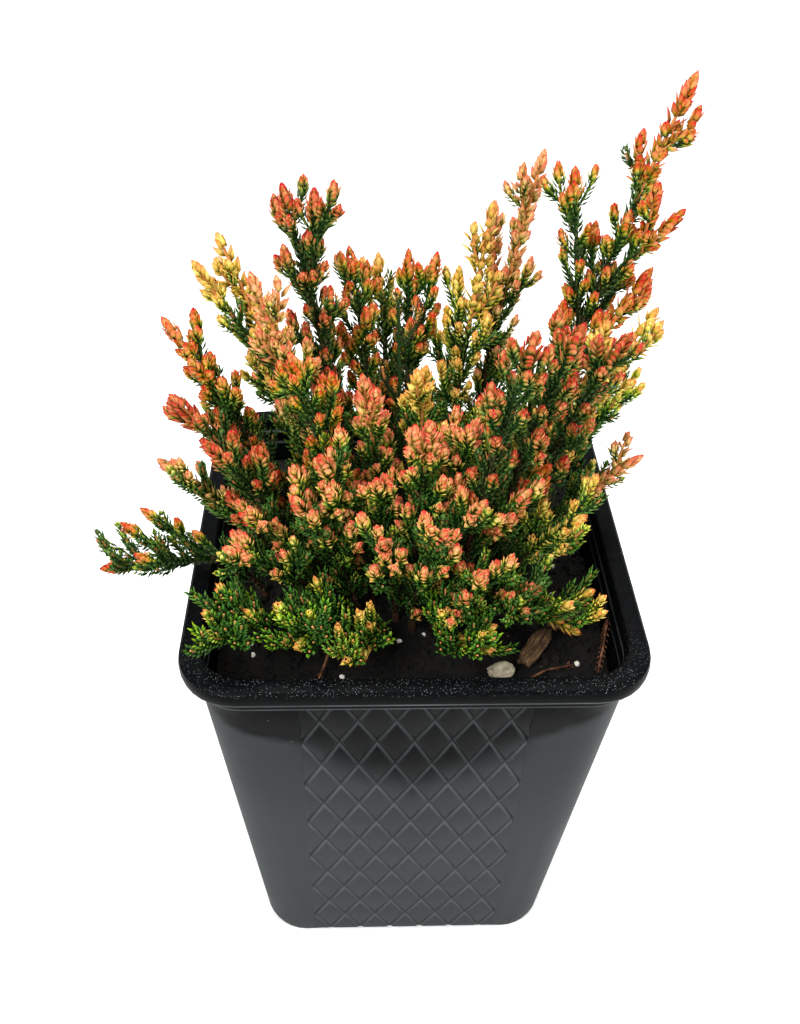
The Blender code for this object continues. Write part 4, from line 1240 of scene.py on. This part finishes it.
CREEPER_END = -74.5
for i, row in enumerate(STEMS):
    if len(row) == 5:
        continue
    name, kind = row[0], row[2]
    spray = Spray()
    # The stem itself, from its hole in the soil, and then its forks.
    foot = np.array([paths[i][0][0], paths[i][0][1], SOIL_Z - 5.0])
    whole = np.concatenate([[foot], paths[i]])
    bare = kind == "bare"
    coloured = LONG_COLOUR.get(name, 0)
    if name == "rim_creeper":
        whole = shortened(whole, 6.5)
    spray.wood.append((shortened(whole, 2.5), 0.6 if bare else 1.0, 0.35,
                       -9.0 if bare else coloured))
    clothe(spray, whole, kind, 7.5, coloured=coloured, loose=0.5 if bare else 0.0,
           bud=0.0 if bare else 1.25 if name.startswith("near_") else 1.0,
           size=0.7 if bare else 1.1)
    if coloured:
        tiers(spray, whole, kind, coloured)
    for j, other in enumerate(STEMS):
        if len(other) == 5 and owner[j] == name:
            coloured = LONG_COLOUR.get(other[0], 0)
            spray.wood.append((shortened(paths[j], 2.5), 0.6, 0.35, coloured))
            clothe(spray, paths[j], other[2], 2.0, coloured=coloured, size=1.05)
            if coloured:
                tiers(spray, paths[j], other[2], coloured)
    # Side shoots bend up to the light. They are coloured all along near a long coloured tip,
    # and have full buds up high, where the light is, and small ones lower down.
    tips = [(paths[j][-1], LONG_COLOUR[names[j]]) for j in range(len(STEMS))
            if owner[j] == name and names[j] in LONG_COLOUR]
    for whose, path, tone in sides:
        if whose == name and path[-1][0] > CREEPER_END:
            high = float(path[-1][2])
            path = turned_up(path, 2.4 if path[0][1] < 5 else 1.4,
                             1.4 if name != "rim_creeper" else 0.0)
            near = any(np.linalg.norm(path[0] - tip) < reach for tip, reach in tips)
            spray.wood.append((shortened(path, 2.0), 0.42, 0.3, 20.0 if near else 2.0))
            full = (near or name == "rim_creeper"
                    or dice.random() < np.interp(high, [135, 175], [0.5, 1.0]))
            if bare:
                clothe(spray, path, tone, 1.4, bud=0.0, size=0.6)
            elif full:
                clothe(spray, path, tone, 1.0, bud=dice.uniform(0.6, 0.9),
                       coloured=float(measure(path)[-1]) if near else dice.uniform(4.0, 5.8))
            else:
                clothe(spray, path, tone, 1.0, bud=dice.uniform(0.4, 0.55), size=0.95,
                       coloured=1.8, peak=dice.uniform(0.5, 0.8))
    # Most sprigs down low are green to the tip.
    for own, path, tone in sprigs:
        if names[own] == name and path[-1][0] > CREEPER_END:
            spray.wood.append((shortened(path, 1.6), 0.34, 0.22, 0.0))
            luck = dice.random()
            if luck < np.interp(path[-1][2], [135, 180], [0.12, 0.95]):
                clothe(spray, path, tone, 0.6, bud=dice.uniform(0.5, 0.7), size=0.85,
                       coloured=dice.uniform(2.8, 4.2))
            else:
                clothe(spray, path, tone, 0.6, bud=0.2, size=0.9, coloured=0.5,
                       peak=dice.uniform(0.42, 0.52) if luck < 0.5 else 0.32)
    piece = dressed("heather_" + name, spray, foliage[kind], wood)
    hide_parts(name)


# Litter on the soil
# Two chips of pine bark and a pale stone lie pressed into the mix, where they were when the
# pot was filled. Dead twigs and stalks have dropped from the plant since.
def bark_material():
    """Weathered pine bark, with its fibres drawn out along the chip."""
    mat, tree, shader = new_surface("pine_bark", 0.85, 0.3)
    way = add(tree, "ShaderNodeAttribute", attribute_name="grain_way").outputs["Vector"]
    lines = add(tree, "ShaderNodeTexNoise", {"Vector": way, "Scale": 1.0, "Detail": 5.0,
                                             "Roughness": 0.7})
    base = add(tree, "ShaderNodeValToRGB", (lines,),
               stops=((0.3, "#1D130B"), (0.48, "#4A3521"), (0.62, "#7A5F40"),
                      (0.8, "#A08560")))
    bump = add(tree, "ShaderNodeBump", {"Height": lines, "Strength": 1.0, "Distance": 0.5 * MM})
    feed(shader, {"Base Color": base, "Normal": bump})
    return mat


def chunk(name, centre, radii, turn, tilt, square, rough, seed, mat):
    """A rough block: a ball drawn out to a slab and worn by noise."""
    shape = bmesh.new()
    bmesh.ops.create_icosphere(shape, subdivisions=4, radius=1.0)
    place = Matrix.Translation(Vector(centre)) @ Matrix.Rotation(turn, 4, "Z") @ Matrix.Rotation(
        tilt, 4, "Y")
    way = []
    for vert in shape.verts:
        p = vert.co.copy()
        for k in range(3):
            p[k] = math.copysign(abs(p[k]) ** square, p[k])
        seen = Vector((p.x * 1.3 + seed, p.y * 3.4, p.z * 3.4))
        wear = 1.0 + rough * noise.fractal(seen, 0.7, 2.2, 4)
        local = Vector((p.x * radii[0] * wear, p.y * radii[1] * wear, p.z * radii[2] * wear))
        way.append((local.x * 0.25 + seed, local.y * 1.6, local.z * 1.6))
        vert.co = (place @ local) * MM
    mesh = bpy.data.meshes.new(name)
    shape.to_mesh(mesh)
    shape.free()
    layer = mesh.attributes.new("grain_way", "FLOAT_VECTOR", "POINT")
    layer.data.foreach_set("vector", np.array(way, np.float32).ravel())
    mesh.materials.append(mat)
    for poly in mesh.polygons:
        poly.use_smooth = True
    obj = bpy.data.objects.new(name, mesh)
    bpy.context.scene.collection.objects.link(obj)
    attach(obj, "root")
    return obj


def fallen(name, points, thick, leafy):
    """A dead twig or stalk on the soil, with the needles that it still holds."""
    path = np.array(points, float)
    end = measure(path)[-1]
    path = along(path, np.linspace(0.0, end, 12))
    spray = Spray()
    spray.wood.append((path, thick, 0.6 * thick, 0.0))
    clothe(spray, path, "bare", 0.5 if leafy else end - 2.0, bud=0.0, size=0.62, loose=0.45,
           peak=0.9)
    dressed(name, spray, dead, dead)


# Dead shoots are dry, matt and rust brown.
dead, dead_tree, dead_shader = new_surface("dead_needles", 0.85, 0.15)
dead_coords = add(dead_tree, "ShaderNodeTexCoord").outputs["Object"]
dead_patch = add(dead_tree, "ShaderNodeTexNoise", {"Vector": dead_coords, "Scale": 500.0,
                                                   "Detail": 3.0, "Roughness": 0.55})
rust = add(dead_tree, "ShaderNodeValToRGB", (dead_patch,),
           stops=((0.3, "#2A1810"), (0.5, "#4E2E1F"), (0.72, "#7C583E")))
feed(dead_shader, {"Base Color": rust})
for name, points, thick, leafy in (
        ("fallen_dead_twig", [(47.0, -27.0, 119.5), (45.6, -32.5, 115.6), (43.4, -39.0, 114.2)],
         0.4, True),
        ("dry_stalk_front", [(-19.5, -33.5, 119.5), (-21.0, -36.5, 115.5),
                             (-22.5, -40.0, 114.0)], 0.45, False),
        ("dry_stalk_side", [(24.5, -42.0, 113.9), (31.0, -38.5, 114.6), (38.0, -36.5, 114.2)],
         0.35, False),
        ("dry_needle_back", [(40.0, 24.0, 113.8), (36.0, 30.0, 114.4), (30.0, 33.0, 113.9)],
         0.35, False)):
    fallen(name, points, thick, leafy)
for obj in (leaf, bud_scale):
    bpy.data.objects.remove(obj)
bark = bark_material()
for node, x, y, turn, long, wide, seed in (("bark_chip_front", 29.5, -31.0, 0.95, 6.0, 2.2, 3.0),
                                           ("bark_chip_back", 38.5, -20.5, 0.72, 5.5, 2.0, 8.0)):
    chip = chunk("pine_" + node, (x, y, 114.4), (long, wide, 0.85), turn, -0.1, 0.62, 0.22,
                 seed, bark)
    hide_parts(node)
stone = chunk("worn_pale_stone", (20.5, -38.5, 114.6), (3.3, 2.3, 1.25), 0.4, 0.1, 0.8, 0.12, 5.0,
              pale_mineral("weathered_limestone", "#6B6252", "#AFA58D"))
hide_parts("pale_stone")


# Studio
# A plain pale table top under large soft lights, as for a catalogue picture.
floor_mat, floor_tree, floor_shader = new_surface("white_table_top", 0.6, 0.3)
floor_coords = add(floor_tree, "ShaderNodeTexCoord").outputs["Object"]
floor_cloud = add(floor_tree, "ShaderNodeTexNoise", {"Vector": floor_coords, "Scale": 3.0,
                                                     "Detail": 2.0, "Roughness": 0.55})
floor_tone = add(floor_tree, "ShaderNodeValToRGB", (floor_cloud,),
                 stops=((0.3, "#F4F4F3"), (0.7, "#F8F8F7")))
feed(floor_shader, {"Base Color": floor_tone})
floor = new_piece("table_top", [(-2500, -2500, 0), (2500, -2500, 0), (2500, 2500, 0),
                                (-2500, 2500, 0)], [(0, 1, 2, 3)], [floor_mat])
floor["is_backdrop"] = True
world = bpy.data.worlds.new("studio")
bpy.context.scene.world = world
world.use_nodes = True
sky = world.node_tree.nodes["Background"]
sky.inputs["Color"].default_value = linear("#FAFBFC")
sky.inputs["Strength"].default_value = 0.75
for name, place, aim, size, power in (("key_light", (-420, -520, 820), (0, 0, 130), 520, 9.0),
                                      ("fill_light", (640, -300, 520), (0, 0, 120), 600, 4.0),
                                      ("top_light", (60, 260, 980), (0, 0, 150), 700, 9.0)):
    light = bpy.data.lights.new(name, "AREA")
    light.shape = "DISK"
    light.size = size * MM
    light.energy = power
    lamp = bpy.data.objects.new(name, light)
    way = Vector(aim) - Vector(place)
    lamp.matrix_world = (Matrix.Translation(Vector(place) * MM)
                         @ way.to_track_quat("-Z", "Y").to_matrix().to_4x4())
    bpy.context.scene.collection.objects.link(lamp)
bpy.context.scene.view_settings.view_transform = "Standard"

low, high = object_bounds()
